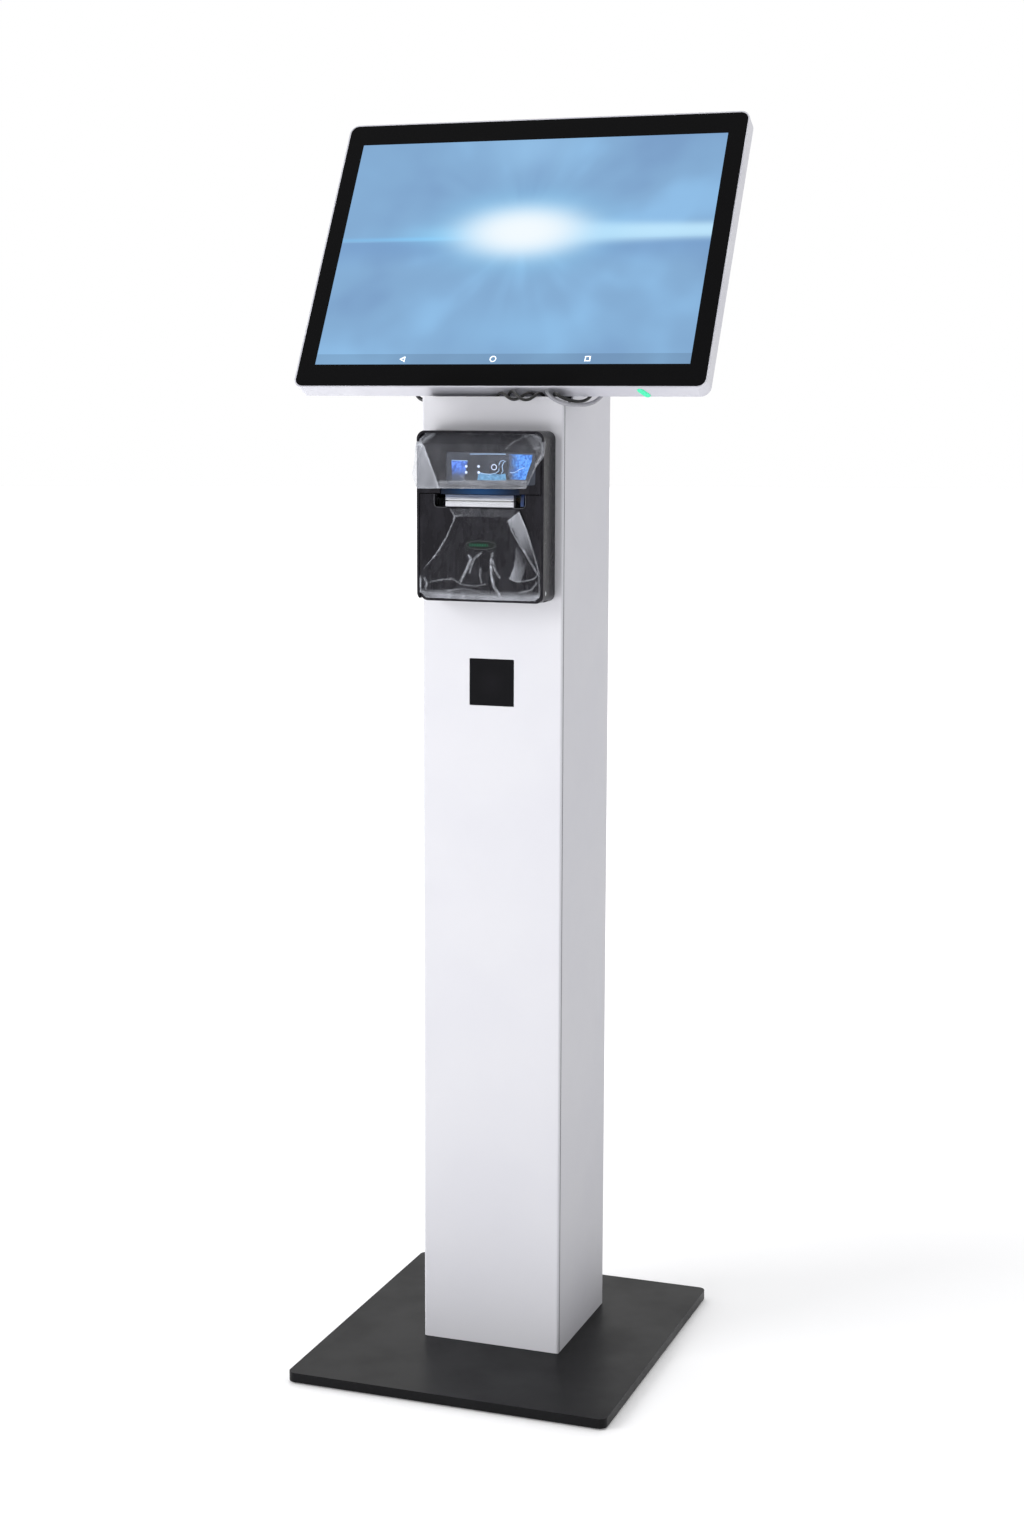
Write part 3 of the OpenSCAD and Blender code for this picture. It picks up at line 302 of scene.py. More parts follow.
def printerPlastic():  # dark grey semi-gloss plastic of the printer, with a soft sheen and faint handling marks
    finish, tree, shader = startFinish("printerPlastic", "15141a", 0.26, Specular_IOR_Level=0.16)
    marks = grain(tree, 14, 5, 0.6, overPart(tree, (1, 1, 0.35)))
    tone(tree, shader, fade(tree, marks, 0.4, 0.72), "121116", "19181e")
    gloss(tree, shader, marks, 0.22, 0.34)
    relief(tree, shader, grain(tree, 0.6, 2), 0.012, 0.4)
    return finish


def readerAcrylic():  # black acrylic of the reader: near black, polished, a hint of the lens hood behind it
    finish, tree, shader = startFinish("readerAcrylic", "0a0a0c", 0.1, Specular_IOR_Level=0.09)
    spot = overPart(tree, (0.02, 0.02, 0.02), (0, -0.057, 0.8566))
    ball = addNode(tree, "TexGradient", {"Vector": spot}, gradient_type="SPHERICAL").outputs[0]
    tone(tree, shader, ball, "0a0a0d", "100f13")
    gloss(tree, shader, grain(tree, 20, 2), 0.08, 0.14)
    return finish


def anodisedBar():  # bright anodised bar with lines brushed along its length
    finish, tree, shader = startFinish("anodisedBar", "d0d1d6", 0.28, Metallic=0.8)
    lines = grain(tree, 0.5, 3, 0.6, overPart(tree, (0.02, 1, 1)))
    up = addNode(tree, "SeparateXYZ", {0: overPart(tree)}).outputs[2]
    body = blendColours(tree, fade(tree, lines, 0.3, 0.7), linearColour("c2c3ca"), linearColour("d6d7dc"))
    body = blendColours(tree, fade(tree, up, 1.0770, 1.0822), body, linearColour("6a7184"))  # painted shade and painted blue reflection: the top of the bar turns darker blue-grey by height
    tree.links.new(blendColours(tree, fade(tree, up, 1.0715, 1.0695), body, linearColour("9fa0aa")),
                   shader.inputs["Base Color"])
    gloss(tree, shader, lines, 0.24, 0.38)
    relief(tree, shader, lines, 0.01, 0.5)
    return finish


def cablePvc(name, dark, light, rough):  # flexible sheath: faint lengthwise drag marks and finger grease
    finish, tree, shader = startFinish(name, dark, rough, Specular_IOR_Level=0.5)
    tone(tree, shader, fade(tree, grain(tree, 8, 4), 0.35, 0.72), dark, light)
    gloss(tree, shader, grain(tree, 5, 3), rough - 0.06, rough + 0.08)
    relief(tree, shader, grain(tree, 0.5, 2), 0.02, 0.4)
    return finish


def blueGuide():  # deep blue translucent light guide, brighter toward its middle
    finish, tree, shader = startFinish("blueGuide", "06162d", 0.2, Specular_IOR_Level=0.2)
    along = addNode(tree, "SeparateXYZ", {0: overPart(tree)}).outputs[0]
    share = fade(tree, calc(tree, "ABSOLUTE", along), 0.0, 0.05, 1.0, 0.0)
    tone(tree, shader, share, "050f1f", "092746")
    tree.links.new(blendColours(tree, share, linearColour("030b17"), linearColour("082a4c")),
                   shader.inputs["Emission Color"])
    shader.inputs["Emission Strength"].default_value = 0.6
    return finish


def litLamp(name, colour, edge, strength):  # small lit part: hot middle, paler rim
    finish, tree, shader = startFinish(name, colour, 0.3)
    shine = fade(tree, grain(tree, 2.2, 2), 0.35, 0.65)
    glow = blendColours(tree, shine, linearColour(colour), linearColour(edge))
    tree.links.new(glow, shader.inputs["Base Color"])
    tree.links.new(glow, shader.inputs["Emission Color"])
    shader.inputs["Emission Strength"].default_value = strength
    return finish


def membraneLabel():  # printed slate membrane: dark slate with a soft lighter drift
    finish, tree, shader = startFinish("membraneLabel", "2c2f38", 0.4, Specular_IOR_Level=0.3)
    tone(tree, shader, fade(tree, grain(tree, 18, 3), 0.35, 0.7), "262a33", "363a46")
    relief(tree, shader, grain(tree, 0.5, 2), 0.01, 0.3)
    return finish


def windowPrint(name, dark, light, cell, strength, clear=None):  # lit window print, mottled like back-lit film
    finish, tree, shader = startFinish(name, dark, 0.35, Specular_IOR_Level=0.25)
    mottle = addNode(tree, "TexVoronoi", {"Vector": overPart(tree), "Scale": 1000 / cell},
                     feature="SMOOTH_F1").outputs["Distance"]
    share = calc(tree, "MULTIPLY", fade(tree, mottle, 0.1, 0.7), fade(tree, grain(tree, 9, 3), 0.3, 0.65, 0.5, 1.2))
    ink = blendColours(tree, share, linearColour(light), linearColour(dark))
    if clear:  # the print thins out to bare slate along one axis
        axis, full, gone = clear
        place = addNode(tree, "SeparateXYZ", {0: overPart(tree)}).outputs[axis]
        ragged = calc(tree, "ADD", place, calc(tree, "MULTIPLY", grain(tree, 5, 3), abs(full - gone) * 0.8))
        ragged = calc(tree, "SUBTRACT", ragged, abs(full - gone) * 0.4)
        ink = blendColours(tree, fade(tree, ragged, gone, full), linearColour("3b4252"), ink)
    tree.links.new(ink, shader.inputs["Base Color"])
    tree.links.new(ink, shader.inputs["Emission Color"])
    shader.inputs["Emission Strength"].default_value = strength
    return finish


def thermalPaper():  # matt off-white thermal paper with faint fibres
    finish, tree, shader = startFinish("thermalPaper", "f1f1ef", 0.7)
    tone(tree, shader, fade(tree, grain(tree, 1.2, 5), 0.35, 0.7), "ebebe8", "f6f6f4")
    relief(tree, shader, grain(tree, 0.5, 3), 0.01, 0.4)
    return finish


def acetalGear():  # ivory acetal, slightly waxy
    finish, tree, shader = startFinish("acetalGear", "dcd7c6", 0.38)
    tone(tree, shader, fade(tree, grain(tree, 5, 3), 0.35, 0.7), "d5cfbd", "e4e0d2")
    relief(tree, shader, grain(tree, 0.4, 2), 0.01, 0.3)
    return finish


def solderMask():  # green board with pale tracks and gold pads
    finish, tree, shader = startFinish("solderMask", "12502a", 0.35)
    tracks = addNode(tree, "TexBrick", {"Vector": overPart(tree, (1, 1, 1)), "Scale": 260.0,
                                        "Mortar Size": 0.06}).outputs["Fac"]
    ink = blendColours(tree, tracks, linearColour("0f4626"), linearColour("2d7a45"))
    tree.links.new(ink, shader.inputs["Base Color"])
    gloss(tree, shader, grain(tree, 6, 3), 0.28, 0.42)
    return finish


def headCeramic():  # warm grey ceramic head on a dark heat sink
    finish, tree, shader = startFinish("headCeramic", "8e8573", 0.4, Metallic=0.4)
    tone(tree, shader, fade(tree, grain(tree, 2.5, 3), 0.35, 0.7), "7f7767", "a09783")
    gloss(tree, shader, grain(tree, 2, 3), 0.32, 0.5)
    return finish


def platenRubber():  # ground grey-black roller rubber, fine rings around it
    finish, tree, shader = startFinish("platenRubber", "2b2b2c", 0.7)
    rings = grain(tree, 0.4, 2, 0.5, overPart(tree, (1, 0.05, 0.05)))
    tone(tree, shader, fade(tree, rings, 0.3, 0.7), "232324", "353536")
    relief(tree, shader, rings, 0.03, 0.5)
    return finish


screenSet = {
    "centre": (0, 0.0394, 1.3756), "tilt": 29.5,
    "halfWidth": 0.2383, "halfHeight": 0.1589, "barTop": -0.1446,
    "burst": (0.0, 0.027), "horizon": 0.014,
    "cloud": ("7b9fc8", "84acd3", "8fbde6"), "halo": "93d4fb", "core": "f4fbff",
    "rightBeam": "c2e9ff", "leftBeam": "84c4f3", "lowBand": "7297c6", "border": "09090a",
}


def touchGlass(values=screenSet):  # black printed border and the lit picture behind the glass
    finish, tree, shader = startFinish("touchGlass", values["border"], 0.07, Specular_IOR_Level=0.1)
    flat = overPart(tree, (1, 1, 1), values["centre"], (-math.radians(values["tilt"]), 0, 0))
    x, deep, up = addNode(tree, "SeparateXYZ", {0: flat}).outputs

    def times(first, second):
        return calc(tree, "MULTIPLY", first, second)

    def minus(first, second):
        return calc(tree, "SUBTRACT", first, second)

    dx = minus(x, values["burst"][0])
    dz = minus(up, values["burst"][1])
    far = calc(tree, "SQRT", calc(tree, "ADD", times(dx, dx), times(dz, dz)))
    angle = calc(tree, "ARCTAN2", dz, dx)
    spokes = addNode(tree, "CombineXYZ", {0: times(calc(tree, "COSINE", angle), 2.6),
                                          1: times(calc(tree, "SINE", angle), 2.6),
                                          2: times(far, 5.0)}).outputs[0]
    rays = addNode(tree, "TexNoise", {"Vector": spokes, "Scale": 0.8, "Detail": 2.0, "Roughness": 0.4}).outputs[0]
    drift = addNode(tree, "TexNoise", {"Vector": flat, "Scale": 9.0, "Detail": 2.0, "Roughness": 0.5}).outputs[0]
    share = calc(tree, "ADD", times(rays, 0.5), times(drift, 0.5))
    low, mid, high = [linearColour(c) for c in values["cloud"]]
    picture = blendColours(tree, fade(tree, share, 0.34, 0.52), low, mid)
    picture = blendColours(tree, fade(tree, share, 0.5, 0.68), picture, high)

    def bell(across, upward, wide, tall, power=1.0):  # soft oval spot
        a = calc(tree, "DIVIDE", across, wide)
        b = calc(tree, "DIVIDE", upward, tall)
        total = calc(tree, "ADD", times(a, a), times(b, b))
        if power != 1.0:
            total = calc(tree, "POWER", total, power)
        return calc(tree, "EXPONENT", times(total, -1.0))

    top = bell(calc(tree, "ADD", x, 0.005), minus(up, 0.15), 0.055, 0.035)
    picture = blendColours(tree, times(top, 0.5), picture, linearColour("a2d2f8"))
    foot = bell(minus(x, 0.03), calc(tree, "ADD", up, 0.115), 0.10, 0.03)
    picture = blendColours(tree, times(foot, 0.4), picture, linearColour("95c9f3"))
    aboveLine = minus(up, values["horizon"])
    outward = fade(tree, calc(tree, "ABSOLUTE", x), 0.03, 0.12)
    under = times(fade(tree, aboveLine, -0.045, -0.002), fade(tree, aboveLine, 0.0, 0.001, 1.0, 0.0))
    picture = blendColours(tree, times(times(under, outward), 0.55), picture,
                           linearColour(values["lowBand"]))
    # the beam to the right widens toward the edge, the one to the left is a thin line
    rightWide = fade(tree, x, 0.0, 0.24, 0.016, 0.011)
    beamUp = calc(tree, "DIVIDE", minus(aboveLine, 0.009), rightWide)
    rightBeam = calc(tree, "EXPONENT", times(calc(tree, "POWER", calc(tree, "ABSOLUTE", beamUp), 3.0), -1.0))
    rightBeam = times(rightBeam, fade(tree, x, 0.01, 0.07))
    picture = blendColours(tree, times(rightBeam, 0.85), picture, linearColour(values["rightBeam"]))
    leftBeam = times(bell(0.0, minus(aboveLine, 0.004), 1.0, 0.0028),
                    fade(tree, x, -0.23, -0.1, 0.55, 1.0))
    leftBeam = times(leftBeam, fade(tree, x, -0.06, 0.0, 1.0, 0.0))
    picture = blendColours(tree, times(leftBeam, 0.9), picture, linearColour(values["leftBeam"]))
    glowLeft = times(bell(calc(tree, "ADD", x, 0.07), minus(aboveLine, 0.009), 0.075, 0.012),
                    0.75)
    picture = blendColours(tree, glowLeft, picture, linearColour(values["halo"]))
    halo = bell(dx, dz, 0.098, 0.047, 1.4)
    picture = blendColours(tree, times(halo, 0.95), picture, linearColour(values["halo"]))
    core = bell(dx, minus(dz, -0.001), 0.078, 0.034, 1.6)
    picture = blendColours(tree, times(core, 0.98), picture, linearColour(values["core"]))
    bar = calc(tree, "LESS_THAN", up, values["barTop"])
    picture = blendColours(tree, times(bar, 0.8), picture,
                           blendColours(tree, 1.0, picture, linearColour("e2e0e0"), "MULTIPLY"))
    inside = times(calc(tree, "LESS_THAN", calc(tree, "ABSOLUTE", x), values["halfWidth"]),
                  calc(tree, "LESS_THAN", calc(tree, "ABSOLUTE", up), values["halfHeight"]))
    front = calc(tree, "LESS_THAN", deep, 0.0006)
    lit = times(inside, front)
    black = linearColour("000000")
    tree.links.new(blendColours(tree, lit, black, picture), shader.inputs["Emission Color"])
    shader.inputs["Emission Strength"].default_value = 1.0
    tree.links.new(blendColours(tree, lit, linearColour(values["border"]), black), shader.inputs["Base Color"])
    gloss(tree, shader, grain(tree, 60, 3), 0.06, 0.1)
    return finish


def clearFilm():  # thin clear film: nearly invisible where it lies flat; its opacity carries painted highlights along its folds and over lit patches
    finish, tree, shader = startFinish("clearFilm", "b9bcc5", 0.2, Specular_IOR_Level=0.5)
    haze = addNode(tree, "Attribute", attribute_name="haze").outputs["Fac"]
    veil = fade(tree, grain(tree, 16, 4, 0.6, overPart(tree, (1, 1, 0.4))), 0.35, 0.75, 0.7, 1.25)
    alpha = calc(tree, "MULTIPLY", haze, veil, clamp=True)
    tree.links.new(alpha, shader.inputs["Alpha"])
    gloss(tree, shader, grain(tree, 11, 3), 0.14, 0.3)
    relief(tree, shader, grain(tree, 9, 1), 0.4, 0.35)
    return finish


def badgePrint():  # dark printed oval with a row of plain green dashes
    finish, tree, shader = startFinish("badgePrint", "0a0f0e", 0.3, Specular_IOR_Level=0.15)
    flat = overPart(tree, (1, 1, 1), (0.002, 0, 1.025))
    spot = addNode(tree, "SeparateXYZ", {0: flat}).outputs
    x, up = spot[0], spot[2]
    row = calc(tree, "LESS_THAN", calc(tree, "ABSOLUTE", up), 0.0016)
    dash = calc(tree, "LESS_THAN", calc(tree, "PINGPONG", calc(tree, "ADD", x, 0.0012), 0.0016), 0.0007)
    reach = calc(tree, "LESS_THAN", calc(tree, "ABSOLUTE", calc(tree, "ADD", x, 0.003)), 0.0115)
    marks = calc(tree, "MULTIPLY", calc(tree, "MULTIPLY", row, dash), reach)
    tone(tree, shader, marks, "0b100f", "1a5a40")
    return finish


print("tools and finishes ready")

finishes = {
    "silver": silverCoat(),
    "case": caseLacquer(),
    "plate": blackCoat("satinBlackCoat", "0b0b0d", "0f0f11"),
    "bracket": blackCoat("bracketBlackCoat", "141416", "1a1a1d", 0.9, (0.4, 0.52)),
    "rubber": softRubber(),
    "zinc": zincPlate(),
    "galvanised": galvanised(),
    "disc": frictionDisc(),
    "mouldedBlack": mouldedBlack(),
    "printer": printerPlastic(),
    "reader": readerAcrylic(),
    "bar": anodisedBar(),
    "blackCable": cablePvc("blackPvc", "0e0e0f", "19191b", 0.36),
    "greyCable": cablePvc("greyPvc", "8b8b92", "9b9ba1", 0.42),
    "guide": blueGuide(),
    "mint": litLamp("mintLamp", "1fb583", "38cf9c", 0.5),
    "lamp": litLamp("whiteLamp", "aab8d6", "c9d4ea", 0.45),
    "paleLine": litLamp("paleLine", "7f9fc6", "9ab6d8", 0.25),
    "mark": litLamp("screenMark", "d4dde8", "f4f8fc", 0.7),
    "label": membraneLabel(),
    "leftWindow": windowPrint("leftWindowPrint", "2c4a92", "5078cf", 2.4, 0.4, (2, 1.117, 1.104)),
    "rightWindow": windowPrint("rightWindowPrint", "2458a6", "4f8cd8", 2.0, 0.4, (0, 0.052, 0.036)),
    "palePrint": windowPrint("palePrint", "3f6688", "5f8fb4", 3.0, 0.25),
    "paper": thermalPaper(),
    "gear": acetalGear(),
    "board": solderMask(),
    "head": headCeramic(),
    "platen": platenRubber(),
    "glass": touchGlass(),
    "film": clearFilm(),
    "badge": badgePrint(),
    "grip": mouldedBlack("rimGrey", "3c3d42", "4a4b50", (0.3, 0.4), 0.2),
    "lever": mouldedBlack("blueLever", "0b1d40", "12305e", (0.3, 0.42), 0.2),
}


# cables between the display and the column
cableSet = {
    "left": {"node": "cable_left", "diameter": 4.6, "finish": "blackCable", "slot": "black_cable", "route": [
        (-115, 8.5, 1247.5), (-115, 3.5, 1239), (-115, -1, 1230), (-115, -6, 1219), (-115, -12, 1209),
        (-112, -19, 1202), (-106, -25, 1197), (-98, -28, 1194), (-91, -29, 1192.3), (-84, -28.5, 1191.5),
        (-77, -25, 1189), (-70, -19, 1184), (-66, -14, 1177), (-64, -12, 1171), (-64, -12, 1165.5)]},
    "frontA": {"node": "cable_front_a", "diameter": 3.6, "finish": "blackCable", "slot": "black_cable", "route": [
        (0, 8.5, 1247.5), (0, 3.5, 1239), (-1, -1, 1231), (-2, -6, 1222), (-4, -15, 1206), (-7, -23, 1194),
        (-8, -32, 1188.5), (-5, -41, 1190), (1, -48.5, 1196.5), (8, -54.5, 1202), (15, -59.5, 1203),
        (21, -62.5, 1199), (27, -63, 1196), (33, -62.5, 1196), (39, -60.5, 1199.5), (44, -57, 1203),
        (49, -51, 1202.5), (51.5, -45, 1197), (52.5, -40, 1189), (51, -36, 1180), (50, -34, 1172),
        (50, -34, 1165.5)]},
    "frontB": {"node": "cable_front_b", "diameter": 3.6, "finish": "blackCable", "slot": "black_cable", "route": [
        (20, 8.5, 1247.5), (20, 3.5, 1239), (19, -1, 1231), (18, -6, 1222), (16, -15, 1206), (14, -23, 1194),
        (12, -32, 1188), (13, -41, 1189), (16, -48, 1194.5), (20, -54, 1201.5), (26, -59.5, 1205.5),
        (32, -65, 1202.5), (38, -67.5, 1198), (44, -68, 1195.5), (50, -66, 1196), (55, -62.5, 1199.5),
        (58.5, -57.5, 1203), (61, -51, 1202), (62.5, -45, 1196.5), (63.5, -40, 1188), (62.5, -36, 1180),
        (62, -34, 1172), (62, -34, 1165.5)]},
    "black": {"node": "cable_black", "diameter": 4.0, "finish": "blackCable", "slot": "black_cable", "route": [
        (112, 8.5, 1247.5), (112, 3.5, 1239), (112, -1, 1230), (112, -5, 1220), (112, -10, 1211),
        (112, -17, 1203), (110.5, -25, 1197.5), (108, -34, 1194.5), (104, -44, 1193.5), (99, -54, 1194.5),
        (92.5, -61, 1197), (86, -62.5, 1200), (80.5, -60, 1203), (77, -53, 1202.5), (76, -45, 1197),
        (77, -34, 1191), (78, -22, 1186.5), (78, -13, 1180), (78, -8, 1172), (78, -8, 1165.5)]},
    "grey": {"node": "cable_grey", "diameter": 4.8, "finish": "greyCable", "slot": "grey_cable", "route": [
        (126, 8.5, 1247.5), (126, 3.5, 1239), (126, -1, 1230), (126, -5, 1219), (126, -10, 1209),
        (124, -17, 1200.5), (120, -25, 1194.5), (115, -34, 1191), (109, -44, 1189.5), (103, -55, 1189.5),
        (96, -63, 1190.5), (88.5, -67, 1193), (81, -67, 1196.5), (74.5, -64.5, 1201), (70, -59.5, 1204.5),
        (69, -52, 1203.3), (70, -44, 1196), (72.5, -37, 1187.5), (75, -31, 1180), (76, -26, 1172),
        (76, -26, 1165.5)]},
}


def smoothRoute(points, step):  # an even, smooth line through the chosen points, in metres
    pts = [Vector(p) / 1000 for p in points]
    ends = [pts[0] * 2 - pts[1]] + pts + [pts[-1] * 2 - pts[-2]]
    fine = []
    for i in range(len(pts) - 1):
        a, b, c, d = ends[i:i + 4]
        for k in range(12):
            t = k / 12
            fine.append(0.5 * (2 * b + (c - a) * t + (2 * a - 5 * b + 4 * c - d) * t ** 2
                               + (3 * b - a - 3 * c + d) * t ** 3))
    fine.append(pts[-1])
    total = sum((q - p).length for p, q in zip(fine, fine[1:]))
    count = max(8, round(total / step))
    even, gone, i = [fine[0]], 0.0, 0
    for k in range(1, count):
        want = total * k / count
        while gone + (fine[i + 1] - fine[i]).length < want:
            gone += (fine[i + 1] - fine[i]).length
            i += 1
        even.append(fine[i].lerp(fine[i + 1], (want - gone) / (fine[i + 1] - fine[i]).length))
    return even + [fine[-1]]


def drawTube(name, points, diameter):
    line = bpy.data.curves.new(name, "CURVE")
    line.dimensions = "3D"
    spline = line.splines.new("POLY")
    spline.points.add(len(points) - 1)
    for spot, place in zip(spline.points, points):
        spot.co = (*place, 1)
    line.bevel_depth = diameter / 2
    line.bevel_resolution = 4
    line.use_fill_caps = True
    obj = bpy.data.objects.new(name, line)
    stage.collection.objects.link(obj)
    takeUp(obj)
    bpy.ops.object.convert(target="MESH")
    bpy.ops.object.mode_set(mode="EDIT")
    bpy.ops.mesh.select_all(action="SELECT")
    bpy.ops.mesh.remove_doubles(threshold=1e-6)
    bpy.ops.mesh.normals_make_consistent(inside=False)
    bpy.ops.object.mode_set(mode="OBJECT")
    bpy.ops.object.shade_smooth_by_angle(angle=math.radians(meshSet["smoothCable"]))
    return bpy.context.object


for key, values in cableSet.items():
    path = smoothRoute(values["route"], 0.0022)
    lead = drawTube("cable" + key[0].upper() + key[1:], path, values["diameter"] / 1000)
    giveFinish(lead, finishes[values["finish"]])
    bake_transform(lead)
    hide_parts(values["node"])
print("cables laid")


# machine parts that only need their finish and softened edges
bodyWork = [
    ("base_plate", "stand", "black_plate", "plate", 1.6, 4),
    ("foot_pads", "stand", "rubber", "rubber", 0.4),
    ("column_shell", "stand", "silver_paint", "silver", 0.35),
    ("front_panel", "stand", "silver_paint", "silver", 0.35),
    ("column_cap", "stand", "silver_paint", "silver", 0.3),
    ("cable_grommets", "stand", "rubber", "rubber", 0.3),
    ("tilt_base", "stand", "black_bracket", "bracket", 0.4),
    ("display_bracket", "display", "black_bracket", "bracket", 0.4),
    ("tilt_pins", "display", "zinc", "zinc", 0.5),
    ("bracket_screws", "display", "zinc", "zinc", 0.4),
    ("display_case", "display", "case_paint", "case", 0.9, 4),
    ("touch_glass", "display", "dark_glass", "glass", 0.35),
    ("rear_cover", "display", "case_paint", "case", 0.4),
    ("power_button", "power_key", "lit_green", "mint", 0.35, 3),
    ("cable_plugs", "display", "black_plastic", "mouldedBlack", 0.6),
    ("rear_door", "rear_door", "silver_paint", "silver", 0.35),
    ("hinge_pins", "stand", "zinc", "zinc", 0.3),
    ("lock_barrel", "rear_door", "zinc", "zinc", 0.35),
    ("lock_cam", "lock", "zinc", "zinc", 0.25),
    ("mains_inlet", "stand", "black_plastic", "mouldedBlack", 0.35),
    ("power_switch", "switch", "black_plastic", "mouldedBlack", 0.35),
    ("scanner_window", "stand", "dark_glass", "reader", 0.35),
    ("scanner_frame", "stand", "black_plastic", "mouldedBlack", 0.3),
    ("printer_housing", "stand", "printer_dark", "printer", 0.8, 3),
    ("printer_cover", "stand", "printer_dark", "printer", 0.5, 3),
    ("control_label", "stand", "label", "label", 0.15, 1),
    ("light_guide", "stand", "blue_guide", "guide", 0.4),
    ("status_lamps", "stand", "lamp", "lamp", 0.3),
    ("feed_button", "feed_key", "printer_dark", "label", 0.3),
    ("tear_bar", "stand", "bar", "bar", 0.3),
    ("guide_bar", "printer_door", "bar", "bar", 0.3),
    ("printer_door", "printer_door", "printer_dark", "printer", 0.5, 3),
    ("door_pins", "stand", "zinc", "zinc", 0.3),
    ("release_lever", "lever", "black_plastic", "lever", 0.4),
    ("badge", "printer_door", "badge", "badge", 0.12),
    ("platen_roller", "platen", "platen", "platen", 0.25),
    ("paper_roll", "roll", "paper", "paper", 0.2, 1),
    ("paper_strip", "stand", "paper", "paper", 0, 1),
]
for node, body, slotName, finish, edge, *segments in bodyWork:
    dress(node, body, slotName, finishes[finish], edge, *segments)
for node, finish in [
    ("column_flange", "bracket"), ("frame_bolts", "zinc"), ("panel_nuts", "zinc"), ("friction_washers", "disc"),
    ("lcd_panel", "galvanised"), ("main_board", "board"), ("speakers", "mouldedBlack"),
    ("power_supply", "galvanised"), ("scanner_module", "mouldedBlack"), ("print_frame", "galvanised"),
    ("print_head", "head"), ("step_motor", "zinc"), ("motor_pinion", "gear"), ("idler_gear", "gear"),
    ("paper_bucket", "mouldedBlack"),
]:
    paintOver(node, finishes[finish])
print("machine parts dressed")


# dark rubber strips in the joint between the front panel and the column's walls, a painted shadow of the seam gap
seamShadowSet = {"back": -51.9, "front": -53.5, "out": 90.06, "deep": 0.5, "low": 14.5, "high": 1198}
for side, name in ((1, "seamShadowRight"), (-1, "seamShadowLeft")):
    pickNone()
    bpy.ops.mesh.primitive_plane_add(size=1)
    seamShadowStrip = bpy.context.object
    seamShadowStrip.name = name
    seamShadowStrip.matrix_world = (
        Matrix.Translation((side * (seamShadowSet["out"] - seamShadowSet["deep"]) / 1000,
                            (seamShadowSet["back"] + seamShadowSet["front"]) / 2000, (seamShadowSet["low"] + seamShadowSet["high"]) / 2000))
        @ Matrix.Rotation(math.radians(90 * side), 4, "Y")
        @ Matrix.Diagonal(((seamShadowSet["high"] - seamShadowSet["low"]) / 1000,
                           (seamShadowSet["back"] - seamShadowSet["front"]) / 1000, 1, 1)))
    applyPlace(seamShadowStrip)
    pullOut(seamShadowStrip, (side * seamShadowSet["deep"] / 1000, 0, 0))
    softEdges(seamShadowStrip, 0.1, 1)
    giveFinish(seamShadowStrip, finishes["rubber"])
    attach(seamShadowStrip, "stand")
print("panel seals fitted")


# flat work stood up on the screen or on the printer's face
def standOnPrinter(obj):  # x across, y up, z out of the printer's face, all from its centre
    obj.matrix_world = Matrix.Translation((0, -0.057, 1.058)) @ Matrix.Rotation(math.radians(90), 4, "X")
    applyPlace(obj)


def standOnScreen(obj):  # x across, y up, z out of the glass
    turn = Matrix.Rotation(math.radians(90 - screenSet["tilt"]), 4, "X")
    obj.matrix_world = Matrix.Translation(screenSet["centre"]) @ turn
    applyPlace(obj)


def flatShape(name, outline, depth, thick):  # outline in mm, its back at depth, thickened outward
    mesh = bpy.data.meshes.new(name)
    mesh.from_pydata([(x / 1000, y / 1000, depth / 1000) for x, y in outline], [], [list(range(len(outline)))])
    obj = bpy.data.objects.new(name, mesh)
    stage.collection.objects.link(obj)
    pullOut(obj, (0, 0, thick / 1000))
    return obj


def ribbon(points, width):  # outline of a stroke of that width along the points
    pts = [Vector(p) for p in points]
    left, right = [], []
    for i, p in enumerate(pts):
        run = (pts[min(i + 1, len(pts) - 1)] - pts[max(i - 1, 0)]).normalized()
        side = Vector((-run.y, run.x)) * width / 2
        left.append(tuple(p + side))
        right.append(tuple(p - side))
    return left + right[::-1]


def outlineMark(name, sides, radius, stroke, place, turn, depth, thick):  # ring, square or triangle outline
    pickNone()
    bpy.ops.mesh.primitive_circle_add(vertices=sides, radius=radius / 1000, fill_type="NGON",
                                      location=(place[0] / 1000, place[1] / 1000, depth / 1000),
                                      rotation=(0, 0, math.radians(turn)))
    obj = bpy.context.object
    obj.name = name
    applyPlace(obj)
    bpy.ops.object.mode_set(mode="EDIT")
    bpy.ops.mesh.select_all(action="SELECT")
    bpy.ops.mesh.inset(thickness=stroke / 1000, depth=0)
    bpy.ops.mesh.delete(type="FACE")
    bpy.ops.object.mode_set(mode="OBJECT")
    pullOut(obj, (0, 0, thick / 1000))
    return obj


def fixTo(obj, body, finish, stand):
    if stand:
        stand(obj)
    giveFinish(obj, finishes[finish])
    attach(obj, body)
    return obj


navSet = {"up": -151.8, "stroke": 1.3, "marks": [
    ("navBack", 3, 4.8, -123, 90), ("navHome", 24, 4.2, -7, 0), ("navRecent", 4, 5.0, 112, 45)]}
for name, sides, radius, across, turn in navSet["marks"]:
    mark = outlineMark(name, sides, radius, navSet["stroke"], (across, navSet["up"]), turn, 0.02, 0.06)
    fixTo(mark, "display", "mark", standOnScreen)

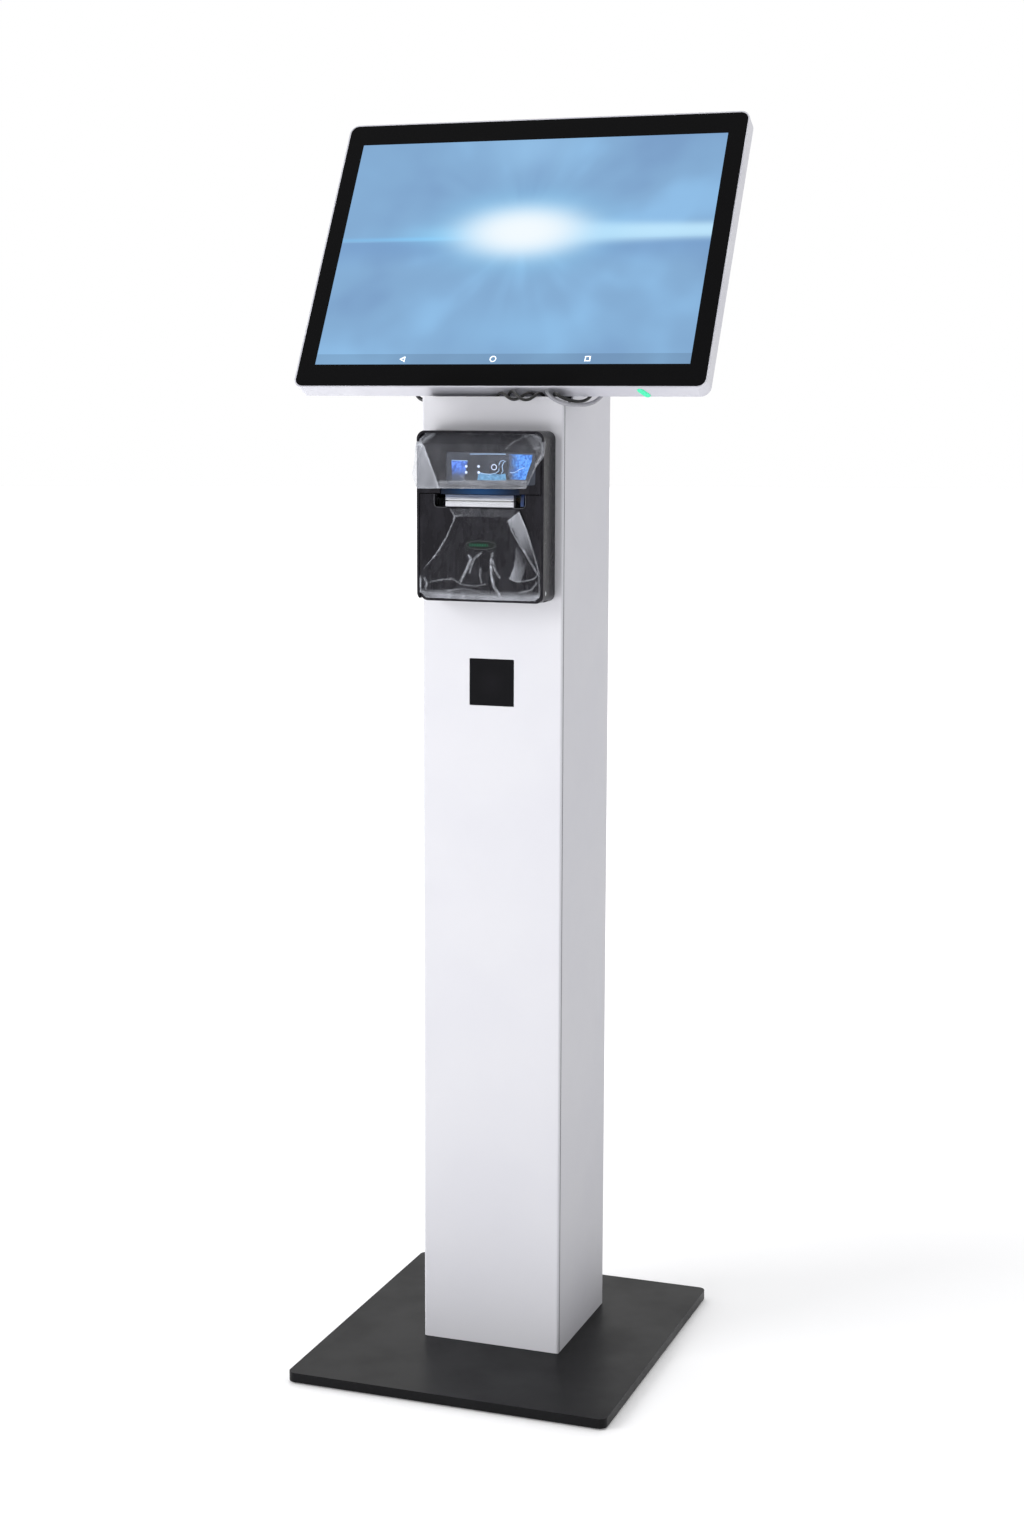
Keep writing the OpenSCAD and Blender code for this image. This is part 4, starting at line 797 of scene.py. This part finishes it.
labelSet = {"face": 42.85, "window": 0.1, "lineLift": 0.05, "line": 0.08, "stroke": 0.75, "ring": 43.28}
leftWindow = flatShape("leftWindow", [(-35.4, 65.9), (-14.8, 65.4), (-17, 57), (-17.6, 50), (-19, 42.5),
                                      (-34.4, 42.8), (-34.8, 54)], labelSet["face"], labelSet["window"])
fixTo(leftWindow, "stand", "leftWindow", standOnPrinter)
rightWindow = flatShape("rightWindow", [(36.5, 74.4), (66, 73.6), (65.2, 66), (60.5, 54), (57.5, 44.6),
                                        (38, 44.8), (35.4, 52), (37.6, 62)], labelSet["face"], labelSet["window"])
fixTo(rightWindow, "stand", "rightWindow", standOnPrinter)
lowBand = flatShape("lowBand", [(-1.4, 50.2), (2, 51.8), (9, 50.2), (17, 50.8), (26, 50.4), (32.6, 51.6),
                                (33.6, 43.6), (20, 43.2), (-2.6, 43.6)], labelSet["face"], labelSet["window"])
fixTo(lowBand, "stand", "palePrint", standOnPrinter)
for i, stroke in enumerate([
    [(-12, 73.9), (10, 74.2), (33, 74.3)],
    [(-35.2, 66.4), (-14.9, 65.9)],
    [(-1, 52.6), (6, 51), (14, 50.6), (21, 52), (24.6, 55), (24, 60.5), (26.5, 66), (31, 67)],
    [(27.2, 51.6), (29.6, 54), (28.4, 60), (30.4, 64.6), (33, 66)],
    [(38, 52.6), (44, 53), (50, 56.4), (57, 59)],
]):
    line = flatShape("labelLine%d" % (i + 1), ribbon(stroke, labelSet["stroke"]),
                     labelSet["face"] + labelSet["lineLift"], labelSet["line"])
    fixTo(line, "stand", "paleLine", standOnPrinter)
feedRing = outlineMark("feedRing", 32, 3.5, 0.8, (18.5, 58.9), 0, labelSet["ring"], 0.06)
fixTo(feedRing, "feed_key", "lamp", standOnPrinter)
badgeSet = {"centre": (2, -33), "half": (18.9, 4.9), "steps": 20, "width": 0.45, "face": 42.6, "thick": 0.05}
for half, first in (("badgeRimUpper", 0), ("badgeRimLower", badgeSet["steps"])):
    arc = [(badgeSet["centre"][0] + badgeSet["half"][0] * math.cos(a / badgeSet["steps"] * math.pi),
            badgeSet["centre"][1] + badgeSet["half"][1] * math.sin(a / badgeSet["steps"] * math.pi))
           for a in range(first, first + badgeSet["steps"] + 1)]
    badgeRim = flatShape(half, ribbon(arc, badgeSet["width"]), badgeSet["face"], badgeSet["thick"])
    fixTo(badgeRim, "printer_door", "grip", standOnPrinter)
notchSet = {"side": 57.7, "top": 26.2, "low": 10.9, "width": 0.55, "face": 42.6, "thick": 0.05}
for name, way in (("notchLineLeft", -1), ("notchLineRight", 1)):  # fine pale edge round the paper outlet
    side, low = notchSet["side"], notchSet["low"]
    edge = [(way * x, y) for x, y in ((side, notchSet["top"]), (side, low + 5), (side - 0.7, low + 2.2),
                                      (side - 2.4, low + 0.5), (side - 6, low), (side - 16, low))]
    line = flatShape(name, ribbon(edge, notchSet["width"]), notchSet["face"], notchSet["thick"])
    fixTo(line, "printer_door", "grip", standOnPrinter)
print("label and screen marks placed")


# clear film on the printer; its haze carries painted highlights along the folds and over lit patches, and a painted
# dark reflection where it drops away
filmGrid = {"step": 0.0013, "thick": 0.00012}
filmSet = {
    "upper": {
        "node": "film_upper", "body": "stand", "face": 43.5,
        "slopeFrom": 85.5, "slope": 0.66, "flat": 0.035, "milk": 0.7,
        "outline": [(-71, 97.6), (-60, 99.8), (-30, 99.4), (20, 99.2), (60, 99), (72, 98.4), (80.6, 93), (82.6, 86),
                    (81, 72), (72, 60), (58.6, 34.4), (40, 33.4), (14, 33.6), (-20, 33.2), (-51, 32.9), (-78.6, 32.6),
                    (-83.6, 42), (-86, 50.5), (-83.4, 62), (-81.6, 72), (-80.6, 82), (-79.6, 89)],
        "folds": [
            ([(-76, 86), (-70, 83), (-64, 66), (-56, 48), (-51, 34)], 1.1, 0.9, 0.6),
            ([(-60, 98.5), (-68, 93), (-72, 85), (-78, 70), (-80, 60)], 1.1, 0.6, 0.4),
            ([(33, 80), (42, 88), (58, 97)], 0.8, 0.6, 0.3),
            ([(60, 98.4), (72, 94), (79, 86), (78.6, 74), (70, 62)], 1.2, 0.8, 0.5),
            ([(66, 98), (77, 92.4), (81.6, 86), (80.4, 73)], 0.8, 0.5, 0.5),
            ([(68, 81), (74, 82)], 0.8, 0.4, 0.4),
            ([(-52, 40), (-20, 43), (10, 42.6), (40, 44), (58, 43)], 0.9, 0.5, 0.22),
            ([(-24, 50), (-16, 42), (4, 38), (20, 39)], 0.9, 0.4, 0.18),
            ([(58.4, 35), (71, 61), (78.6, 72)], 0.7, 0.5, 0.5),
            ([(-76, 33.4), (-20, 34), (14, 34.2), (58, 35)], 0.7, 0.3, 0.3),
            ([(-79, 33), (-83.4, 42.4), (-85.6, 50.5), (-82.6, 63), (-80.6, 82), (-78.6, 89), (-70, 97)],
             0.8, 0.3, 0.6),
            ([(-50, 96), (-20, 97.4), (20, 97.4), (60, 96.6)], 1.2, 0.3, 0.12),
        ],
        # patches of raised haze: painted highlights where the film catches the light
        "veils": [
            ([(-82, 92), (-76, 92), (-70, 83), (-60, 58), (-51, 33), (-88, 32)], 0.5),
            ([(-80, 99), (-56, 99.5), (-64, 90), (-74, 84), (-80, 80)], 0.22),
            ([(50, 99), (82, 98), (84, 70), (74, 62), (70, 80)], 0.1),
            ([(-50, 42), (60, 44), (58, 34), (-50, 33)], 0.2),
        ],
        # patch where the haze drops away: painted dark reflection
        "gaps": [([(-14, 93.5), (44, 94), (48, 90.6), (-10, 90)], 0.1)],
    },
    "lower": {
        "node": "film_lower", "body": "printer_door", "face": 42.95,
        "slopeFrom": 999, "slope": 0, "flat": 0.006, "milk": 0.3,
        "outline": [(-38, 9.6), (0, 10.4), (46, 8.8), (50.5, 7), (60, -14), (70, -40), (76.4, -66), (76.6, -92),
                    (70, -97.2), (20, -97.8), (-30, -97.4), (-68, -97), (-75.6, -90), (-76.4, -74), (-72, -64),
                    (-55, -44), (-42.6, -25), (-33, -5), (-34, 3)],
        "folds": [
            ([(-31, 0), (-42, -24.5), (-54.6, -44), (-68, -58)], 1.3, 1.0, 0.55),
            ([(-36.5, 8.6), (-31, 0.4), (-22, 2)], 1.0, 0.8, 0.4),
            ([(36.4, -3.6), (42, -17), (57.8, -41), (74, -66)], 1.0, 1.4, 0.6),
            ([(36.4, -3.6), (50, 7)], 0.9, 1.0, 0.5),
            ([(51, 6), (61, -18), (75.4, -64)], 1.0, 0.8, 0.45),
            ([(-13, -45.6), (-10.4, -49), (-16, -62), (-23, -76)], 1.5, 1.5, 0.7),
            ([(3, -41.6), (-6, -49), (-9.6, -57), (-12, -66)], 1.2, 1.0, 0.4),
            ([(17, -42), (14.6, -51), (15, -58)], 1.3, 1.2, 0.6),
            ([(15, -58), (15.6, -70), (19, -82), (25.6, -90)], 1.5, 1.5, 0.75),
            ([(17, -50), (20, -62), (26, -70.6)], 1.4, 1.0, 0.4),
            ([(2, -60), (0.6, -70), (3, -77)], 1.1, 0.7, 0.3),
            ([(37.6, -70.4), (46.6, -75), (58, -73.6), (68, -71.6), (72, -68)], 0.9, 1.0, 0.45),
            ([(-62, -78), (-48, -75), (-36, -74)], 1.0, 0.8, 0.35),
            ([(-70, -74), (-66.6, -80), (-68, -86)], 1.6, 1.0, 0.4),
            ([(-36, -73), (-22, -80), (-6, -82), (8, -79)], 1.1, 0.8, 0.3),
            ([(-40, -88), (-20, -85), (0, -88)], 1.2, 0.7, 0.25),
            ([(-74, -90), (-40, -92.4), (0, -93), (40, -93.6), (74, -92)], 2.4, 1.0, 0.18),
            ([(-70, -96), (-30, -96.8), (20, -97), (70, -96.4)], 1.0, 0.6, 0.15),
            ([(75.4, -68), (75.8, -90)], 1.1, 0.9, 0.7),
            ([(-75.6, -72), (-75, -90)], 1.0, 0.7, 0.5),
            ([(72, -76), (66, -84), (50, -88)], 1.2, 0.8, 0.3),
        ],
        # patches of raised haze: painted highlights where the film catches the light
        "veils": [
            ([(36.4, -3.6), (50.5, 7), (60, -14), (76, -66), (57.8, -41)], 1.5, (42, 0), (66, -48)),
            ([(46, -34), (56, -44), (60, -52), (52, -76), (38, -72), (44, -56)], 0.7, (42, -60), (60, -50)),
            ([(-38, 9.6), (46, 8.8), (40, 1), (-30, 0)], 0.14),
            ([(-76, -86), (76, -87), (76, -98), (-76, -98)], 1.1, (0, -98), (0, -86)),
            ([(-31, 0), (-36, -4), (-58, -44), (-74, -66), (-66, -58)], 0.16),
        ],
        "gaps": [],
    },
}


def nearStroke(point, stroke):  # distance from a point to a line of strokes
    best = 1e9
    for a, b in zip(stroke, stroke[1:]):
        ax, ay = a
        bx, by = b[0] - ax, b[1] - ay
        t = max(0.0, min(1.0, ((point[0] - ax) * bx + (point[1] - ay) * by) / (bx * bx + by * by)))
        best = min(best, math.hypot(point[0] - ax - bx * t, point[1] - ay - by * t))
    return best


def within(point, outline):
    inside = False
    for i, (ax, ay) in enumerate(outline):
        bx, by = outline[i - 1]
        if (ay > point[1]) != (by > point[1]) and point[0] < (bx - ax) * (point[1] - ay) / (by - ay) + ax:
            inside = not inside
    return inside


def layFilm(name, values):
    mesh = bpy.data.meshes.new(name)
    mesh.from_pydata([(x / 1000, y / 1000, 0) for x, y in values["outline"]], [],
                     [list(range(len(values["outline"])))])
    obj = bpy.data.objects.new(name, mesh)
    stage.collection.objects.link(obj)
    takeUp(obj)
    bpy.ops.object.mode_set(mode="EDIT")
    step = filmGrid["step"]
    for across, normal in ((0, (1, 0, 0)), (1, (0, 1, 0))):
        low = min(p[across] for p in values["outline"]) / 1000
        high = max(p[across] for p in values["outline"]) / 1000
        for k in range(1, int((high - low) / step)):
            bpy.ops.mesh.select_all(action="SELECT")
            spot = [0, 0, 0]
            spot[across] = low + k * step
            bpy.ops.mesh.bisect(plane_co=spot, plane_no=normal, threshold=1e-6)
    bpy.ops.object.mode_set(mode="OBJECT")
    mesh = obj.data
    haze = mesh.attributes.new("haze", "FLOAT", "POINT")
    for i, v in enumerate(mesh.vertices):
        at = (v.co.x * 1000, v.co.y * 1000)
        lift = 0.6 * abs(noise.noise(Vector((at[0] / 16, at[1] / 22, 3.1)))) + 0.1 * abs(
            noise.noise(Vector((at[0] / 6, at[1] / 10, 8.7))))
        milk = values["flat"]
        # painted highlights: the haze rises inside the lit patches
        for area, amount, *run in values["veils"]:
            if within(at, area):
                fading = 1.0
                if run:  # the painted highlight thins out from the first point to the second
                    (ax, ay), (bx, by) = run
                    along = (at[0] - ax) * (bx - ax) + (at[1] - ay) * (by - ay)
                    fading = 1 - max(0.0, min(1.0, along / ((bx - ax) ** 2 + (by - ay) ** 2)))
                mottle = 0.75 + 0.5 * abs(noise.noise(Vector((at[0] / 16, at[1] / 30, 1.7))))
                milk += values["milk"] * amount * fading * mottle
        # the folds lift the film; the haze along them is a painted highlight
        for stroke, width, height, amount in values["folds"]:
            away = nearStroke(at, stroke)
            if away < width * 3:
                bell = math.exp(-(away / width) ** 2)
                lift += height * bell
                broken = 0.45 + 1.5 * abs(noise.noise(Vector((at[0] / 6, at[1] / 6, width * 9))))
                milk += 0.7 * amount * broken * math.exp(-(away / width * 1.4) ** 2)
        # painted dark reflection: the haze drops away inside these patches
        for area, amount in values["gaps"]:
            if within(at, area):
                milk = min(milk, amount)
        back = max(0.0, at[1] - values["slopeFrom"]) * values["slope"] + max(0.0, abs(at[0]) - 80) * 0.5
        v.co.z = (values["face"] + lift - back) / 1000
        haze.data[i].value = min(0.95, milk)
    runModifier(obj, "SOLIDIFY", thickness=filmGrid["thick"], offset=1.0)
    takeUp(obj)
    bpy.ops.object.shade_smooth_by_angle(angle=math.radians(meshSet["smoothFilm"]))
    return obj


for key, values in filmSet.items():
    film = layFilm("film" + key[0].upper() + key[1:], values)
    fixTo(film, values["body"], "film", standOnPrinter)
    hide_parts(values["node"])
print("film laid")


# floor and light
floorSet = {"size": 60, "colour": "f6f6f7", "rough": 0.6, "near": 0.5, "far": 2.2, "lift": (0.1, 0.5)}


def paleFloor(values=floorSet):  # plain pale studio floor, slightly uneven in gloss
    finish, tree, shader = startFinish("paleFloor", values["colour"], values["rough"], Specular_IOR_Level=0.2)
    tone(tree, shader, fade(tree, grain(tree, 900, 2), 0.3, 0.7), "f5f5f6", "f8f8f9")
    gloss(tree, shader, grain(tree, 300, 2), 0.55, 0.7)
    out = addNode(tree, "VectorMath", {0: overPart(tree)}, operation="LENGTH").outputs["Value"]
    glow = fade(tree, out, values["near"], values["far"], values["lift"][0], values["lift"][1])
    shader.inputs["Emission Color"].default_value = (1, 1, 1, 1)
    tree.links.new(glow, shader.inputs["Emission Strength"])
    return finish


pickNone()
bpy.ops.mesh.primitive_circle_add(vertices=96, radius=floorSet["size"] / 2, fill_type="NGON", location=(0, 0, 0))
floor = bpy.context.object
floor.name = "floor"
giveFinish(floor, paleFloor())

lightSet = {
    "key": {"place": (-3.1, -2.7, 2.5), "aim": (0, 0, 0.8), "size": (2.0, 2.2), "power": 98, "colour": (1, 1, 1)},
    "low": {"place": (-0.9, -2.9, 0.5), "aim": (0, 0, 0.2), "size": (2.2, 0.7), "power": 36, "colour": (1, 1, 1)},
    "top": {"place": (-0.4, 0.9, 4.2), "aim": (0, 0, 0.6), "size": (2.6, 2.6), "power": 30, "colour": (1, 1, 1)},
}
for name, values in lightSet.items():
    away = Vector(values["place"]) - Vector(values["aim"])
    bpy.ops.object.light_add(type="AREA", location=values["place"],
                             rotation=away.to_track_quat("Z", "Y").to_euler())
    lamp = bpy.context.object
    lamp.name = name + "Light"
    lamp.data.shape = "RECTANGLE"
    lamp.data.size, lamp.data.size_y = values["size"]
    lamp.data.energy = values["power"]
    lamp.data.color = values["colour"]
    lamp.visible_glossy = name != "low"  # the low fill leaves no reflection in the dark plastics

roomSet = {"front": 0.4, "back": 0.95}
pickNone()  # a card hung out of the picture keeps the light off the top of the column
flagSet = {"wide": 0.19, "deep": 0.06, "front": -0.0595, "up": 1.2105}
bpy.ops.mesh.primitive_plane_add(size=1, location=(0, flagSet["front"] - flagSet["deep"] / 2, flagSet["up"]))
flag = bpy.context.object
flag.name = "studioFlag"
flag.scale = (flagSet["wide"], flagSet["deep"], 1)
applyPlace(flag)
giveFinish(flag, finishes["rubber"])
flag.visible_camera = False
flag.visible_glossy = False

world = bpy.data.worlds.new("studio")
stage.world = world
world.use_nodes = True
room = world.node_tree
sky = room.nodes["Background"]
ahead = addNode(room, "SeparateXYZ", {0: addNode(room, "TexCoord").outputs["Generated"]}).outputs[1]
shade = fade(room, ahead, -0.6, 0.35, roomSet["front"], roomSet["back"])  # the side behind the camera is dimmer
seen = addNode(room, "LightPath").outputs["Is Camera Ray"]
room.links.new(calc(room, "MAXIMUM", shade, seen), sky.inputs["Strength"])
sky.inputs["Color"].default_value = (1, 1, 1, 1)
print("floor and lights set")
